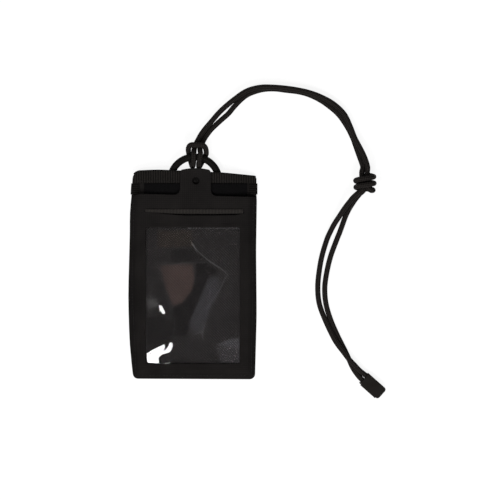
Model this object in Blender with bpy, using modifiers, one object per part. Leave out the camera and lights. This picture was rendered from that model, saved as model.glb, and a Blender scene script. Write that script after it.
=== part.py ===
"""Neck document wallet: a soft fabric pouch with an ID window, a header with a D-ring, and a neck cord.

Metres, +Z up. The wallet lies on its back on z = 0, its header towards +Y. The origin is under the
middle of the box round the wallet and its ring. The cord's route is a list of points chosen by hand.
"""

import math

import bmesh
import bpy
from mathutils import Matrix, Vector

MM = 0.001

# Driving dimensions of the pouch
BODY_WIDTH = 116.0 * MM
BODY_HEIGHT = 188.6 * MM
FABRIC = 1.0 * MM
GAP = 0.3 * MM  # left between pieces that touch
POCKET_DEPTH = 3.2 * MM
CARD_DEPTH = 1.2 * MM
FILM = 0.4 * MM
LINING = 0.6 * MM
TAPE = 0.6 * MM
HOOK_AND_LOOP = 0.8 * MM
OVERRUN = 5.0 * MM  # how far a cutter runs past what it cuts

# Outlines: shares of the half-width and of the height, and a corner radius
CORNER = 5.0 * MM
HEADER_CORNER_LEFT = 7.0 * MM
HEADER_CORNER_RIGHT = 2.2 * MM
SOFT_BEND = 500.0 * MM
TOP_BEND = 160.0 * MM
HEADER_OUTLINE_SHARES = (  # narrower than the pouch by its side tapes
    (-0.956, 0.882, SOFT_BEND),
    (-0.930, 0.995, HEADER_CORNER_LEFT),
    (-0.532, 1.000, TOP_BEND),
    (0.458, 0.989, TOP_BEND),
    (0.976, 0.974, HEADER_CORNER_RIGHT),
    (0.980, 0.888, SOFT_BEND),
)
POUCH_OUTLINE_SHARES = (
    (0.995, 0.862, SOFT_BEND),
    (0.984, 0.620, SOFT_BEND),
    (0.993, 0.308, SOFT_BEND),
    (0.966, 0.000, CORNER),
    (-0.929, 0.003, CORNER),
    (-0.987, 0.165, SOFT_BEND),
    (-1.009, 0.395, SOFT_BEND),
    (-0.976, 0.718, SOFT_BEND),
    (-0.975, 0.803, SOFT_BEND),
)

# Depths below the top edge, and heights above the bottom one
MOUTH_DEPTH = 22.3 * MM
MOUTH_LEFT_SHARE = -0.904  # of the half-width
MOUTH_LEFT_DEPTH = 21.1 * MM
MOUTH_LEFT_CORNER = 7.0 * MM
MOUTH_RIGHT_SHARE = 0.986
MOUTH_RIGHT_DEPTH = 24.1 * MM
MOUTH_RIGHT_CORNER = 1.5 * MM
MOUTH_RISE = 3.3 * MM
RISE_DEPTH = 49.3 * MM  # where the front panel starts to rise towards the mouth
LIFT_DEPTH = 39.4 * MM  # where the back panel starts to rise over the ring's bar
LIFTED_DEPTH = 16.0 * MM
SLIT_DEPTH = 39.8 * MM
SLIT_MARGIN = 13.2 * MM
SLIT_WIDTH = BODY_WIDTH - 2 * SLIT_MARGIN
SLIT_SHIFT = 1.3 * MM
SLIT_OPENING = 2.4 * MM
WINDOW_DEPTH = 51.7 * MM
WINDOW_BOTTOM = 14.7 * MM
WINDOW_HEIGHT = BODY_HEIGHT - WINDOW_DEPTH - WINDOW_BOTTOM
WINDOW_MARGIN = 15.65 * MM  # from the pouch's sides
WINDOW_WIDTH = BODY_WIDTH - 2 * WINDOW_MARGIN
WINDOW_CORNER = 1.5 * MM
FILM_BORDER = 4.6 * MM
LINING_BORDER = 6.1 * MM
LINING_DEPTH = 30.9 * MM
LINING_TUCK = 3.4 * MM
EDGE_SHOULDER = 9.0 * MM
FOLD_PITCH = 4.0 * MM

# Header, tab, hook and loop strips, grosgrain tapes
TAB_WIDTH = 27.9 * MM
TAB_CENTRE = 2.5 * MM
TAB_ROOT_DEPTH = 16.9 * MM
TAB_RISE = 1.7 * MM  # above the top edge
TAB_ARCH = 1.9 * MM
TAB_CORNER = 3.0 * MM
TAB_FILLET = 5.0 * MM
HOLE_DIAMETER = 6.3 * MM
HOLE_CENTRE = 2.9 * MM
HOLE_DEPTH = 9.7 * MM
TAPE_BACK_SHARE = 0.42
TOP_TAPE_DEPTH = 11.5 * MM
SIDE_TAPE_FLAP = 6.6 * MM
SIDE_TAPE_LOW_DEPTH = 21.7 * MM
SLIT_TAPE_FLAP = 3.5 * MM
STRIP_MARGIN = 11.65 * MM
STRIP_WIDTH = BODY_WIDTH - 2 * STRIP_MARGIN
STRIP_CENTRE = 2.5 * MM
LOOP_LOW_DEPTH = 29.5 * MM
LOOP_HIGH_DEPTH = 12.1 * MM
HOOK_LOW_DEPTH = 30.1 * MM
HOOK_HIGH_DEPTH = 24.3 * MM
HEADER_DROOP_SHARE = 0.5
HEADER_FLAT_MARGIN = 3.0 * MM

# D-ring and its webbing keeper
RING_INNER_WIDTH = 37.5 * MM
RING_WIRE = 6.4 * MM
RING_CENTRE = 1.6 * MM
RING_CORNER = 4.5 * MM
BAR_Y = 76.9 * MM
BAR_DEPTH = 9.6 * MM
RING_TILT = math.radians(11.6)  # the cord passes under its bow
KEEPER_WIDTH = 26.0 * MM
KEEPER_TAIL = 9.0 * MM

# Neck cord
CORD = 4.4 * MM
JOIN_GAP = 0.6 * MM
CORD_STEP = 13.0 * MM
END_STEP = 4.4 * MM
END_REACH = 18.0 * MM
FINE_STEP = 2.0 * MM
BEND_STEP = 2.6 * MM
HITCH_SLACK = 2.7 * MM  # how far its turns hang below the wire
KNOT_PITCH = 5.85 * MM
KNOT_TURNS = 2
KNOT_CORE_ROOM = 0.5 * MM  # among the three strands in its middle
KNOT_WRAP_ROOM = 0.9 * MM  # between them and the turns round them
KNOT_END = 4.2 * MM

# Cord clip
CLIP_LENGTH = 22.4 * MM
CLIP_SIDE = 6.3 * MM
CLIP_HINGE_SIDE = 5.9 * MM
CLIP_HINGE_RADIUS = 0.9 * MM
CLIP_FLOOR = 1.0 * MM
CLIP_TOOTH = 0.5 * MM
CLIP_CHANNEL = 16.5 * MM
CLIP_MOUTH_DEPTH = 1.4 * MM
CLIP_CORNER = 2.4 * MM
CLIP_EDGE = 0.7 * MM
CLIP_CORD_INSIDE = 14.0 * MM
CLIP_TOOTH_COUNT = 4
CLIP_SHIFT = 0.55 * MM  # of both lanes, away from the hinge

RING_OUTER = RING_INNER_WIDTH / 2 + RING_WIRE
RING_MIDDLE = (RING_INNER_WIDTH + RING_WIRE) / 2
TOP = BAR_Y + BAR_DEPTH
BOTTOM = TOP - BODY_HEIGHT
TAPE_STAND = GAP + TAPE


def height(value):
    """The y of a height above the wallet's bottom edge."""
    return BOTTOM + value


def from_top(depth):
    """The y of a depth below the wallet's top edge."""
    return TOP - depth


def smooth(t):
    t = min(max(t, 0.0), 1.0)
    return t * t * (3 - 2 * t)


def collection(name):
    made = bpy.data.collections.new(name)
    bpy.context.scene.collection.children.link(made)
    return made


for left_over in list(bpy.data.objects):
    bpy.data.objects.remove(left_over, do_unlink=True)
WALLET = collection("document_wallet")
CUTTERS = collection("cutters")


def material(name, colour, roughness, metallic=0.0, alpha=1.0):
    made = bpy.data.materials.new(name)
    made.use_nodes = True
    shader = made.node_tree.nodes["Principled BSDF"]
    shader.inputs["Base Color"].default_value = (*colour, 1)
    shader.inputs["Roughness"].default_value = roughness
    shader.inputs["Metallic"].default_value = metallic
    shader.inputs["Alpha"].default_value = alpha
    return made


SHELL = material("shell_fabric", (0.022, 0.019, 0.021), 0.85)
GROSGRAIN = material("grosgrain", (0.02, 0.019, 0.02), 0.7)
CLEAR = material("clear_film", (0.9, 0.9, 0.9), 0.1, alpha=0.3)
TWILL = material("lining_twill", (0.03, 0.026, 0.028), 0.9)
PILE = material("hook_and_loop", (0.012, 0.012, 0.013), 0.95)
WEBBING = material("webbing", (0.015, 0.015, 0.016), 0.8)
RING_PLASTIC = material("ring_plastic", (0.012, 0.012, 0.013), 0.4)
BRAID = material("braided_cord", (0.02, 0.018, 0.018), 0.75)
CLIP_PLASTIC = material("clip_plastic", (0.02, 0.018, 0.018), 0.35)


# Outlines

def rounded(corners, steps_per_quarter=5):
    """A closed outline through (x, y, radius) corners, each turned on an arc of its radius."""
    points = []
    for i, (x, y, radius) in enumerate(corners):
        here = Vector((x, y))
        before = Vector(corners[i - 1][:2]) - here
        after = Vector(corners[(i + 1) % len(corners)][:2]) - here
        turn = math.pi - before.angle(after)
        if radius == 0 or turn == 0:
            points.append(here)
            continue
        reach = min(radius * math.tan(turn / 2), before.length / 2, after.length / 2)
        radius = reach / math.tan(turn / 2)
        start = here + before.normalized() * reach
        middle = (before.normalized() + after.normalized()).normalized()
        centre = here + middle * radius / math.cos(turn / 2)
        side = math.copysign(1, before.x * after.y - before.y * after.x)
        steps = max(2, round(steps_per_quarter * turn / (math.pi / 2)))
        for k in range(steps + 1):
            spin = Matrix.Rotation(-side * turn * k / steps, 2)
            points.append(centre + spin @ (start - centre))
    return points


def wallet_corner(x_share, y_share, radius):
    fabric_height = BODY_HEIGHT - TAPE_STAND
    return (x_share * BODY_WIDTH / 2, height(y_share * fabric_height), radius)


def side_x(side, y):
    """The back panel's left (-1) or right (+1) edge at a height."""
    corners = sorted(
        (wallet_corner(*corner)[1], wallet_corner(*corner)[0])
        for corner in HEADER_OUTLINE_SHARES + POUCH_OUTLINE_SHARES
        if corner[0] * side > 0.9
    )
    for (y0, x0), (y1, x1) in zip(corners, corners[1:]):
        if y <= y1:
            return x0 + (x1 - x0) * max(y - y0, 0) / (y1 - y0)
    return corners[-1][1]


# How the sheets lie: each is a thin slab whose underside follows one of these height fields

BAR_Z = TAPE + GAP + RING_WIRE / 2
HEADER_STAND = RING_WIRE / 2 / math.cos(RING_TILT) + 2 * GAP + TAPE
LIFT_START = from_top(LIFT_DEPTH)
LIFT_END = from_top(LIFTED_DEPTH)
RISE_START = from_top(RISE_DEPTH)
MOUTH_Y = from_top(MOUTH_DEPTH)
PANE_STACK = GAP + FILM
LINING_STACK = PANE_STACK + CARD_DEPTH + LINING
BODY_LEVEL = FABRIC + POCKET_DEPTH + LINING_STACK
MOUTH_LEVEL = BODY_LEVEL + MOUTH_RISE
HEADER_FLAT = RING_OUTER + HEADER_FLAT_MARGIN


def header_plane(y):
    return BAR_Z + HEADER_STAND + (y - BAR_Y) * math.tan(RING_TILT)


def back_under(x, y):
    """Flat on the surface, then rising over the ring's bar and drooping towards the header's ends."""
    droop = HEADER_DROOP_SHARE * smooth((abs(x - RING_CENTRE) - HEADER_FLAT) / (BODY_WIDTH / 2 - HEADER_FLAT))
    return header_plane(y) * smooth((y - LIFT_START) / (LIFT_END - LIFT_START)) * (1 - droop)


def back_top(x, y):
    return back_under(x, y) + FABRIC


TAB_TIP_Y = from_top(-TAB_RISE)
TAB_TIP_LEVEL = header_plane(TAB_TIP_Y) + FABRIC + TAPE_STAND + GAP


def front_under(x, y):
    """Sewn down along the sides and bottom, and standing proud of the header at the mouth."""
    seam = back_top(x, y) + GAP
    level = BODY_LEVEL + (MOUTH_LEVEL - BODY_LEVEL) * smooth((y - RISE_START) / (MOUTH_Y - RISE_START))
    level += (TAB_TIP_LEVEL - MOUTH_LEVEL) * max(0.0, (y - MOUTH_Y) / (TAB_TIP_Y - MOUTH_Y))
    inside = min(x - side_x(-1, y), side_x(1, y) - x, y - BOTTOM)
    share = math.sin(math.pi / 2 * min(max(inside / EDGE_SHOULDER, 0), 1))
    return seam + (level - seam) * share


def front_top(x, y):
    return front_under(x, y) + FABRIC


def film_under(x, y):
    return front_under(x, y) - GAP - FILM


LINING_HALF = WINDOW_WIDTH / 2 + LINING_BORDER
LINING_BOTTOM_Y = height(WINDOW_BOTTOM) - LINING_BORDER * 1.35
LINING_TOP_Y = from_top(LINING_DEPTH)


def lining_under(x, y):
    """A shallow tray: its rim is sewn up under the film and the front panel, its floor holds the cards."""
    rim = min(LINING_HALF - abs(x), y - LINING_BOTTOM_Y)
    side_rim = (CARD_DEPTH - GAP) * (1 - smooth(rim / LINING_TUCK))
    top_rim = (CARD_DEPTH + FILM) * (1 - smooth((LINING_TOP_Y - y) / LINING_TUCK))
    return front_under(x, y) - LINING_STACK + max(side_rim, top_rim)


def loop_under(x, y):
    return back_top(x, y) + GAP


def hook_under(x, y):
    return front_under(x, y) - GAP - HOOK_AND_LOOP


# Builders

def finish(obj, look, smooth_angle=40):
    obj.data.materials.clear()
    obj.data.materials.append(look)
    if obj.type == "MESH":
        obj.data.shade_smooth()
        obj.data.set_sharp_from_angle(angle=math.radians(smooth_angle))
    return obj


def flat_face(name, outline, group):
    """An object holding one flat face with this outline, at z = 0, facing up."""
    mesh = bmesh.new()
    mesh.faces.new([mesh.verts.new((p[0], p[1], 0)) for p in outline])
    bmesh.ops.recalc_face_normals(mesh, faces=mesh.faces)
    if mesh.faces[:][0].normal.z < 0:
        bmesh.ops.reverse_faces(mesh, faces=mesh.faces)
    data = bpy.data.meshes.new(name)
    mesh.to_mesh(data)
    mesh.free()
    obj = bpy.data.objects.new(name, data)
    group.objects.link(obj)
    return obj


def thicken(obj, thickness):
    made = obj.modifiers.new("thickness", "SOLIDIFY")
    made.thickness = thickness
    made.offset = 1


def prism(name, outline, low, high, group=CUTTERS):
    """An upright prism over this outline."""
    obj = flat_face(name, outline, group)
    thicken(obj, high - low)
    obj.location.z = low
    obj.hide_render = group is CUTTERS
    obj.display_type = "WIRE" if group is CUTTERS else "TEXTURED"
    return obj


def boolean(obj, operation, other):
    made = obj.modifiers.new(f"{operation.lower()}_{other.name}", "BOOLEAN")
    made.operation = operation
    made.object = other


def settle(obj):
    """Applies the object's modifiers."""
    bpy.context.view_layer.update()
    graph = bpy.context.evaluated_depsgraph_get()
    mesh = bpy.data.meshes.new_from_object(obj.evaluated_get(graph))
    obj.modifiers.clear()
    obj.data = mesh


def fold_lines():
    """Where a sheet's face is cut so that it can bend: at the shoulders, and closer up the header."""
    half = BODY_WIDTH / 2
    across = [side * half * share for side in (-1, 1) for share in (0.3, 0.62, 0.83, 0.87, 0.91, 0.95, 0.98)]
    low = [height(EDGE_SHOULDER * share) for share in (0.15, 0.4, 0.7, 1.0)]
    step = (TAB_TIP_Y - RISE_START) / 14
    high = [RISE_START + step * k for k in range(14)]
    middle = [height(BODY_HEIGHT * share) for share in (0.25, 0.45, 0.62)]
    header = [side * half * share for side in (-1, 1) for share in (0.42, 0.51, 0.56, 0.67, 0.72, 0.77)]
    return across + [0.0], low + middle + high, header


def sheet(name, outline, thickness, under, look, cutters=()):
    """A thin slab over a flat outline, cut, then bent so that its underside follows a height field."""
    obj = flat_face(name, outline, WALLET)
    mesh = bmesh.new()
    mesh.from_mesh(obj.data)
    across, along, header = fold_lines()
    sideways, upwards = Vector((1, 0, 0)), Vector((0, 1, 0))
    cuts = ((upwards, along, BOTTOM), (sideways, across, BOTTOM), (sideways, header, LIFT_START))
    for axis, places, lowest in cuts:
        for place in places:
            faces = [face for face in mesh.faces if face.calc_center_median().y > lowest]
            geometry = list({part for face in faces for part in (*face.verts, *face.edges, face)})
            bmesh.ops.bisect_plane(mesh, geom=geometry, dist=GAP / 1000, plane_co=axis * place, plane_no=axis)
    mesh.to_mesh(obj.data)
    mesh.free()
    thicken(obj, thickness)
    for cutter in cutters:
        boolean(obj, "DIFFERENCE", cutter)
    settle(obj)
    for vertex in obj.data.vertices:
        vertex.co.z += under(vertex.co.x, vertex.co.y)
    return finish(obj, look)


def box_outline(left, right, low, high, radius=0.0):
    return rounded([(left, low, radius), (right, low, radius), (right, high, radius), (left, high, radius)])


def tape(name, path, inward, flap, top, bottom):
    """Tape folded round a sheet's edge: over it, round it and back under, as far in as flap(edge) says."""
    mesh = bmesh.new()
    rows = []
    for i, (x, y) in enumerate(path):
        edge = Vector((x, y))
        along = Vector(path[min(i + 1, len(path) - 1)]) - Vector(path[max(i - 1, 0)])
        outward = Vector((along.y, -along.x)).normalized()
        outward *= -math.copysign(GAP, outward.dot(inward))
        row = []
        profile = ((1, top, GAP), (0, top, GAP), (0, bottom, -GAP), (TAPE_BACK_SHARE, bottom, -GAP))
        for share, surface, lift in profile:
            reach = share * flap(edge)
            place = edge + inward * reach if reach else edge + outward
            inner = edge + inward * reach
            row.append(mesh.verts.new((place.x, place.y, surface(inner.x, inner.y) + lift)))
        rows.append(row)
    for row, following in zip(rows, rows[1:]):
        for k in range(len(row) - 1):
            mesh.faces.new((row[k], row[k + 1], following[k + 1], following[k]))
    bmesh.ops.recalc_face_normals(mesh, faces=mesh.faces)
    front = max(mesh.faces, key=lambda face: face.calc_center_median().z)
    if front.normal.z < 0:
        bmesh.ops.reverse_faces(mesh, faces=mesh.faces)
    data = bpy.data.meshes.new(name)
    mesh.to_mesh(data)
    mesh.free()
    obj = bpy.data.objects.new(name, data)
    WALLET.objects.link(obj)
    thicken(obj, TAPE)
    obj.modifiers["thickness"].use_even_offset = True
    settle(obj)
    return finish(obj, GROSGRAIN)


def tube(name, points, diameter, look, cyclic=False, sides_level=2):
    curve = bpy.data.curves.new(name, "CURVE")
    curve.dimensions = "3D"
    curve.bevel_depth = diameter / 2
    curve.bevel_resolution = sides_level
    curve.use_fill_caps = not cyclic
    spline = curve.splines.new("POLY")
    spline.points.add(len(points) - 1)
    for point, place in zip(spline.points, points):
        point.co = (*place, 1)
    spline.use_cyclic_u = cyclic
    obj = bpy.data.objects.new(name, curve)
    WALLET.objects.link(obj)
    return finish(obj, look)


# Pouch

def back_outline():
    return rounded([wallet_corner(*corner) for corner in HEADER_OUTLINE_SHARES + POUCH_OUTLINE_SHARES])


def back_panel():
    return sheet("back_panel", back_outline(), FABRIC, back_under, SHELL)


def mouth_corners():
    """The front panel's top edge falls a little from left to right."""
    return [
        (share * BODY_WIDTH / 2, from_top(depth), radius)
        for share, depth, radius in (
            (MOUTH_LEFT_SHARE, MOUTH_LEFT_DEPTH, MOUTH_LEFT_CORNER),
            (MOUTH_RIGHT_SHARE, MOUTH_RIGHT_DEPTH, MOUTH_RIGHT_CORNER),
        )
    ]


def mouth_y(x):
    left, right = mouth_corners()
    return left[1] + (right[1] - left[1]) * (x - left[0]) / (right[0] - left[0])


def front_panel():
    tab_left, tab_right = TAB_CENTRE - TAB_WIDTH / 2, TAB_CENTRE + TAB_WIDTH / 2
    root = from_top(TAB_ROOT_DEPTH) - GAP
    mouth_left, mouth_right = mouth_corners()
    corners = [
        mouth_left,
        (tab_left, mouth_y(tab_left), TAB_FILLET),
        (tab_left, root, 0),
        (tab_right, root, 0),
        (tab_right, mouth_y(tab_right), TAB_FILLET),
        mouth_right,
    ]
    corners += [wallet_corner(*corner) for corner in POUCH_OUTLINE_SHARES]
    half = WINDOW_WIDTH / 2
    low = height(WINDOW_BOTTOM)
    window = box_outline(-half, half, low, low + WINDOW_HEIGHT, WINDOW_CORNER)
    half_open, slit_y, slit_half = SLIT_OPENING / 2, from_top(SLIT_DEPTH), SLIT_WIDTH / 2
    slit = box_outline(
        SLIT_SHIFT - slit_half, SLIT_SHIFT + slit_half, slit_y - half_open, slit_y + half_open, half_open
    )
    cutters = [
        prism("window_cutter", window, -OVERRUN, OVERRUN),
        prism("slit_cutter", slit, -OVERRUN, OVERRUN),
    ]
    return sheet("front_panel", rounded(corners), FABRIC, front_under, SHELL, cutters)


def pull_tab():
    """The tongue above the mouth. It bends up at its root, and its origin is on that bend."""
    left, right = TAB_CENTRE - TAB_WIDTH / 2, TAB_CENTRE + TAB_WIDTH / 2
    shoulder = TAB_TIP_Y - TAB_ARCH
    radius = (TAB_WIDTH ** 2 / 4 + TAB_ARCH ** 2) / (2 * TAB_ARCH)
    sweep = math.asin(TAB_WIDTH / 2 / radius)
    outline = [Vector((left, from_top(TAB_ROOT_DEPTH))), Vector((right, from_top(TAB_ROOT_DEPTH)))]
    arch_steps = 10
    for k in range(arch_steps + 1):
        angle = sweep * (1 - 2 * k / arch_steps) * (1 - TAB_CORNER / TAB_WIDTH)
        x = TAB_CENTRE + radius * math.sin(angle)
        outline.append(Vector((x, TAB_TIP_Y - radius * (1 - math.cos(angle)))))
        if k == 0:
            outline.insert(2, Vector((right, shoulder - TAB_CORNER / 2)))
    outline.append(Vector((left, shoulder - TAB_CORNER / 2)))
    hole_steps = 20
    hole = [
        (
            HOLE_CENTRE + HOLE_DIAMETER / 2 * math.cos(math.tau * k / hole_steps),
            from_top(HOLE_DEPTH) + HOLE_DIAMETER / 2 * math.sin(math.tau * k / hole_steps),
        )
        for k in range(hole_steps)
    ]
    punch = prism("hole_cutter", hole, -OVERRUN, OVERRUN)
    tab = sheet("pull_tab", outline, FABRIC, front_under, SHELL, [punch])
    root = Vector((0, from_top(TAB_ROOT_DEPTH) - GAP / 2, front_top(TAB_CENTRE, from_top(TAB_ROOT_DEPTH))))
    tab.data.transform(Matrix.Translation(-root))
    tab.location = root
    return tab


def tapes():
    """Grosgrain round the header's top and side edges, and on the card slit's upper lip."""
    outline = back_outline()
    path = []
    for start, end in zip(outline, outline[1:] + outline[:1]):
        run = end - start
        if min(start.y, end.y) < height(BODY_HEIGHT * 0.9) or abs(run.y) > abs(run.x):
            continue
        pieces = max(1, round(run.length / FOLD_PITCH))
        path += [start.lerp(end, k / pieces) for k in range(pieces + 1)]
    path = sorted({(round(p.x, 7), round(p.y, 7)) for p in path})
    low = from_top(TOP_TAPE_DEPTH)
    tape("top_binding", path, Vector((0, -1)), lambda edge: edge.y - low, back_top, back_under)
    bottom, high = from_top(SIDE_TAPE_LOW_DEPTH), from_top(TOP_TAPE_DEPTH + GAP)
    for name, side in (("side_binding_left", -1), ("side_binding_right", 1)):
        steps = 4
        heights = [bottom + (high - bottom) * k / steps for k in range(steps + 1)]
        path = [Vector((side_x(side, y), y)) for y in heights]
        tape(name, path, Vector((-side, 0)), lambda edge: SIDE_TAPE_FLAP, back_top, back_under)
    lip = from_top(SLIT_DEPTH) + SLIT_OPENING / 2
    steps = 8
    inset = SLIT_OPENING
    left, right = SLIT_SHIFT - SLIT_WIDTH / 2 + inset, SLIT_SHIFT + SLIT_WIDTH / 2 - inset
    path = [Vector((left + (right - left) * k / steps, lip)) for k in range(steps + 1)]
    tape("slit_binding", path, Vector((0, 1)), lambda edge: SLIT_TAPE_FLAP, front_top, front_under)


def inner_sheets():
    film_half = WINDOW_WIDTH / 2 + FILM_BORDER
    film_low = height(WINDOW_BOTTOM) - FILM_BORDER
    film_high = height(WINDOW_BOTTOM + WINDOW_HEIGHT) + FILM_BORDER
    sheet("window_pane", box_outline(-film_half, film_half, film_low, film_high), FILM, film_under, CLEAR)
    lining = box_outline(-LINING_HALF, LINING_HALF, LINING_BOTTOM_Y, LINING_TOP_Y)
    sheet("pocket_lining", lining, LINING, lining_under, TWILL)
    left, right = STRIP_CENTRE - STRIP_WIDTH / 2, STRIP_CENTRE + STRIP_WIDTH / 2
    loop = box_outline(left, right, from_top(LOOP_LOW_DEPTH), from_top(LOOP_HIGH_DEPTH))
    sheet("loop_strip", loop, HOOK_AND_LOOP, loop_under, PILE)
    hook = box_outline(left, right, from_top(HOOK_LOW_DEPTH), from_top(HOOK_HIGH_DEPTH))
    sheet("hook_strip", hook, HOOK_AND_LOOP, hook_under, PILE)


# Ring and keeper

def ring_frame():
    """The ring's own frame: origin on the bar's axis, +Y along the ring's plane."""
    return Matrix.Translation((RING_CENTRE, BAR_Y, BAR_Z)) @ Matrix.Rotation(RING_TILT, 4, "X")


def d_ring():
    """A half round bow on a straight bar, with rounded corners, turning on the bar's axis."""
    arc_steps, corner_steps = 28, 5
    start = math.asin(RING_CORNER / (RING_MIDDLE - RING_CORNER))
    points = []
    for k in range(arc_steps + 1):
        angle = start + (math.pi - 2 * start) * k / arc_steps
        points.append(Vector((RING_MIDDLE * math.cos(angle), RING_MIDDLE * math.sin(angle), 0)))
    for side in (-1, 1):
        centre = Vector((side * (RING_MIDDLE - RING_CORNER) * math.cos(start), RING_CORNER, 0))
        sweep = math.pi / 2 + start
        turn = [
            centre + RING_CORNER * Vector((side * math.cos(start - sweep * k / corner_steps),
                                           math.sin(start - sweep * k / corner_steps), 0))
            for k in range(1, corner_steps + 1)
        ]
        points += turn if side < 0 else turn[::-1]
    ring = tube("d_ring", points, RING_WIRE, RING_PLASTIC, cyclic=True, sides_level=5)
    ring.matrix_world = ring_frame()
    return ring


def on_edge(start):
    """Stands a face drawn in (y, z) upright, with its thickness running along X from this x."""
    turned = Matrix(((0, 0, 1, 0), (1, 0, 0, 0), (0, 1, 0, 0), (0, 0, 0, 1)))
    return Matrix.Translation((start, 0, 0)) @ turned


def ring_keeper():
    """Webbing folded round the bar and sewn flat to the back of the header."""
    inner = RING_WIRE / 2 + GAP
    outer = inner + TAPE
    steps = 24
    tail_end = BAR_Y - outer - KEEPER_TAIL
    profile = []
    for k in range(steps + 1):
        angle = math.radians(100) - math.radians(270) * k / steps
        profile.append((BAR_Y + outer * math.cos(angle), BAR_Z + outer * math.sin(angle)))
    tail_steps = 5
    tail = profile[-1][0] - tail_end
    lower = [tail_end + tail * (1 - k / tail_steps) for k in range(1, tail_steps + 1)]
    profile += [(y, back_under(RING_CENTRE, y) - GAP - 2 * TAPE) for y in lower]
    profile += [(y, back_under(RING_CENTRE, y) - GAP) for y in reversed(lower)]
    side = flat_face("ring_keeper", profile, WALLET)
    thicken(side, KEEPER_WIDTH)
    side.matrix_world = on_edge(RING_CENTRE - KEEPER_WIDTH / 2)
    turns = [math.tau * k / steps for k in range(steps)]
    bore = [(BAR_Y + inner * math.cos(turn), BAR_Z + inner * math.sin(turn)) for turn in turns]
    cutter = flat_face("keeper_bore_cutter", bore, CUTTERS)
    thicken(cutter, KEEPER_WIDTH + 2 * OVERRUN)
    cutter.matrix_world = on_edge(RING_CENTRE - KEEPER_WIDTH / 2 - OVERRUN)
    cutter.hide_render = True
    cutter.display_type = "WIRE"
    boolean(side, "DIFFERENCE", cutter)
    return finish(side, WEBBING)


# Cord

def metres(points):
    """A route's points are written in millimetres."""
    return [Vector(point) * MM for point in points]


def spline(points, step, before=None, after=None):
    """Even steps along a smooth curve through these points, in line with the points before and after them."""
    padded = [before or points[0] * 2 - points[1], *points, after or points[-1] * 2 - points[-2]]
    fine = []
    per_span = 12
    for a, b, c, d in zip(padded, padded[1:], padded[2:], padded[3:]):
        for k in range(per_span):
            t = k / per_span
            fine.append(0.5 * (2 * b + (c - a) * t + (2 * a - 5 * b + 4 * c - d) * t * t
                               + (3 * b - a - 3 * c + d) * t * t * t))
    fine.append(points[-1])
    return even_steps(fine, step)


def even_steps(fine, step):
    reach = [0.0]
    for a, b in zip(fine, fine[1:]):
        reach.append(reach[-1] + (b - a).length)
    count = max(2, round(reach[-1] / step))
    made, k = [], 0
    for i in range(count + 1):
        target = reach[-1] * i / count
        while k < len(fine) - 2 and reach[k + 1] < target:
            k += 1
        share = (target - reach[k]) / max(reach[k + 1] - reach[k], GAP / 1000)
        made.append(fine[k].lerp(fine[k + 1], min(share, 1)))
    return made


def tube_points(fine):
    """Few points along the middle of a strand and closer ones near its ends, where it bends most."""
    close = round(END_REACH / FINE_STEP)
    ends = [even_steps(part, END_STEP) for part in (fine[:close + 1], fine[-close - 1:])]
    return ends[0] + even_steps(fine[close:-close], CORD_STEP)[1:-1] + ends[1]


def trimmed(points, start, end):
    """The same path with these lengths taken off its two ends."""
    for _ in range(2):
        points = points[::-1]
        start, end = end, start
        while (points[-1] - points[-2]).length <= end:
            end -= (points[-1] - points[-2]).length
            points = points[:-1]
        points = points[:-1] + [points[-1].lerp(points[-2], end / (points[-1] - points[-2]).length)]
    return points


def ride_over(rider, lower, spread):
    """Lifts a strand just clear of the one that it lies on, and eases the lift out either side."""
    clear = CORD + GAP * 2.2
    needed = []
    for point in rider:
        level = point.z
        for other in lower:
            apart = math.hypot(point.x - other.x, point.y - other.y)
            if apart < clear:
                level = max(level, other.z + math.sqrt(clear ** 2 - apart ** 2))
        needed.append(level)
    count = len(rider)
    held = [max(needed[max(0, i - spread):i + spread + 1]) for i in range(count)]
    for i, point in enumerate(rider):
        near = held[max(0, i - spread):i + spread + 1]
        eased = sum(near) / len(near)
        at_end = min(i, count - 1 - i) / spread
        if at_end < 1:
            eased = needed[i] + (eased - needed[i]) * smooth(at_end)
        point.z = max(eased, needed[i])


def least_gap(path, other=None):
    """The least room between a tube and itself, or another one, in millimetres."""
    least = BODY_WIDTH
    step = (path[1] - path[0]).length
    for i, a in enumerate(path):
        for j, b in enumerate(other or path):
            if other is None and (j <= i or (j - i) * step < 2.2 * CORD):
                continue
            least = min(least, (a - b).length)
    return (least - CORD) / MM


# The cow hitch's two halves: from the bight up into a side loop, the stops along the wire, and the way out
HITCH_SIDES = (
    (
        ((-1.6, 108.9, 13.4), (-3.7, 106.5, 9.8)),
        (-2.9, -3.0, -2.9, -1.8, -0.1, 0.9, 1.2, 1.2),
        ((1.5, 106.1, 8.8), (2.65, 110.0, 8.4), (4.7, 114.2, 6.9), (7.2, 118.9, 5.1), (9.8, 122.6, 4.3)),
    ),
    (
        ((9.3, 108.6, 13.4), (11.6, 106.1, 9.8)),
        (10.2, 10.3, 9.7, 8.5, 7.15, 6.45, 6.15, 6.15),
        ((6.5, 106.1, 8.8), (8.0, 109.2, 6.6), (9.6, 112.9, 4.3), (11.6, 116.6, 2.9), (14.3, 120.2, 2.3)),
    ),
)
HITCH_BIGHT = (3.55, 108.9, 13.5)
HITCH_ANGLES = (126, 170, 215, 262, 305, 345, 384, 408)  # of each stop round the wire, from its front


def round_wire(x, angle):
    """A point round the ring's wire at this x: 0 degrees in front of it, 90 above, 180 behind, 270 inside."""
    across = x - RING_CENTRE
    along = Vector((across, math.sqrt(RING_MIDDLE ** 2 - across ** 2), 0))
    reach = RING_WIRE / 2 + CORD / 2 + GAP * 1.8
    turn = math.radians(angle)
    hang = reach + HITCH_SLACK * max(0, -math.sin(turn))
    spot = along + along.normalized() * hang * math.sin(turn)
    spot.z += reach * math.cos(turn)
    return ring_frame() @ spot


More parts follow.
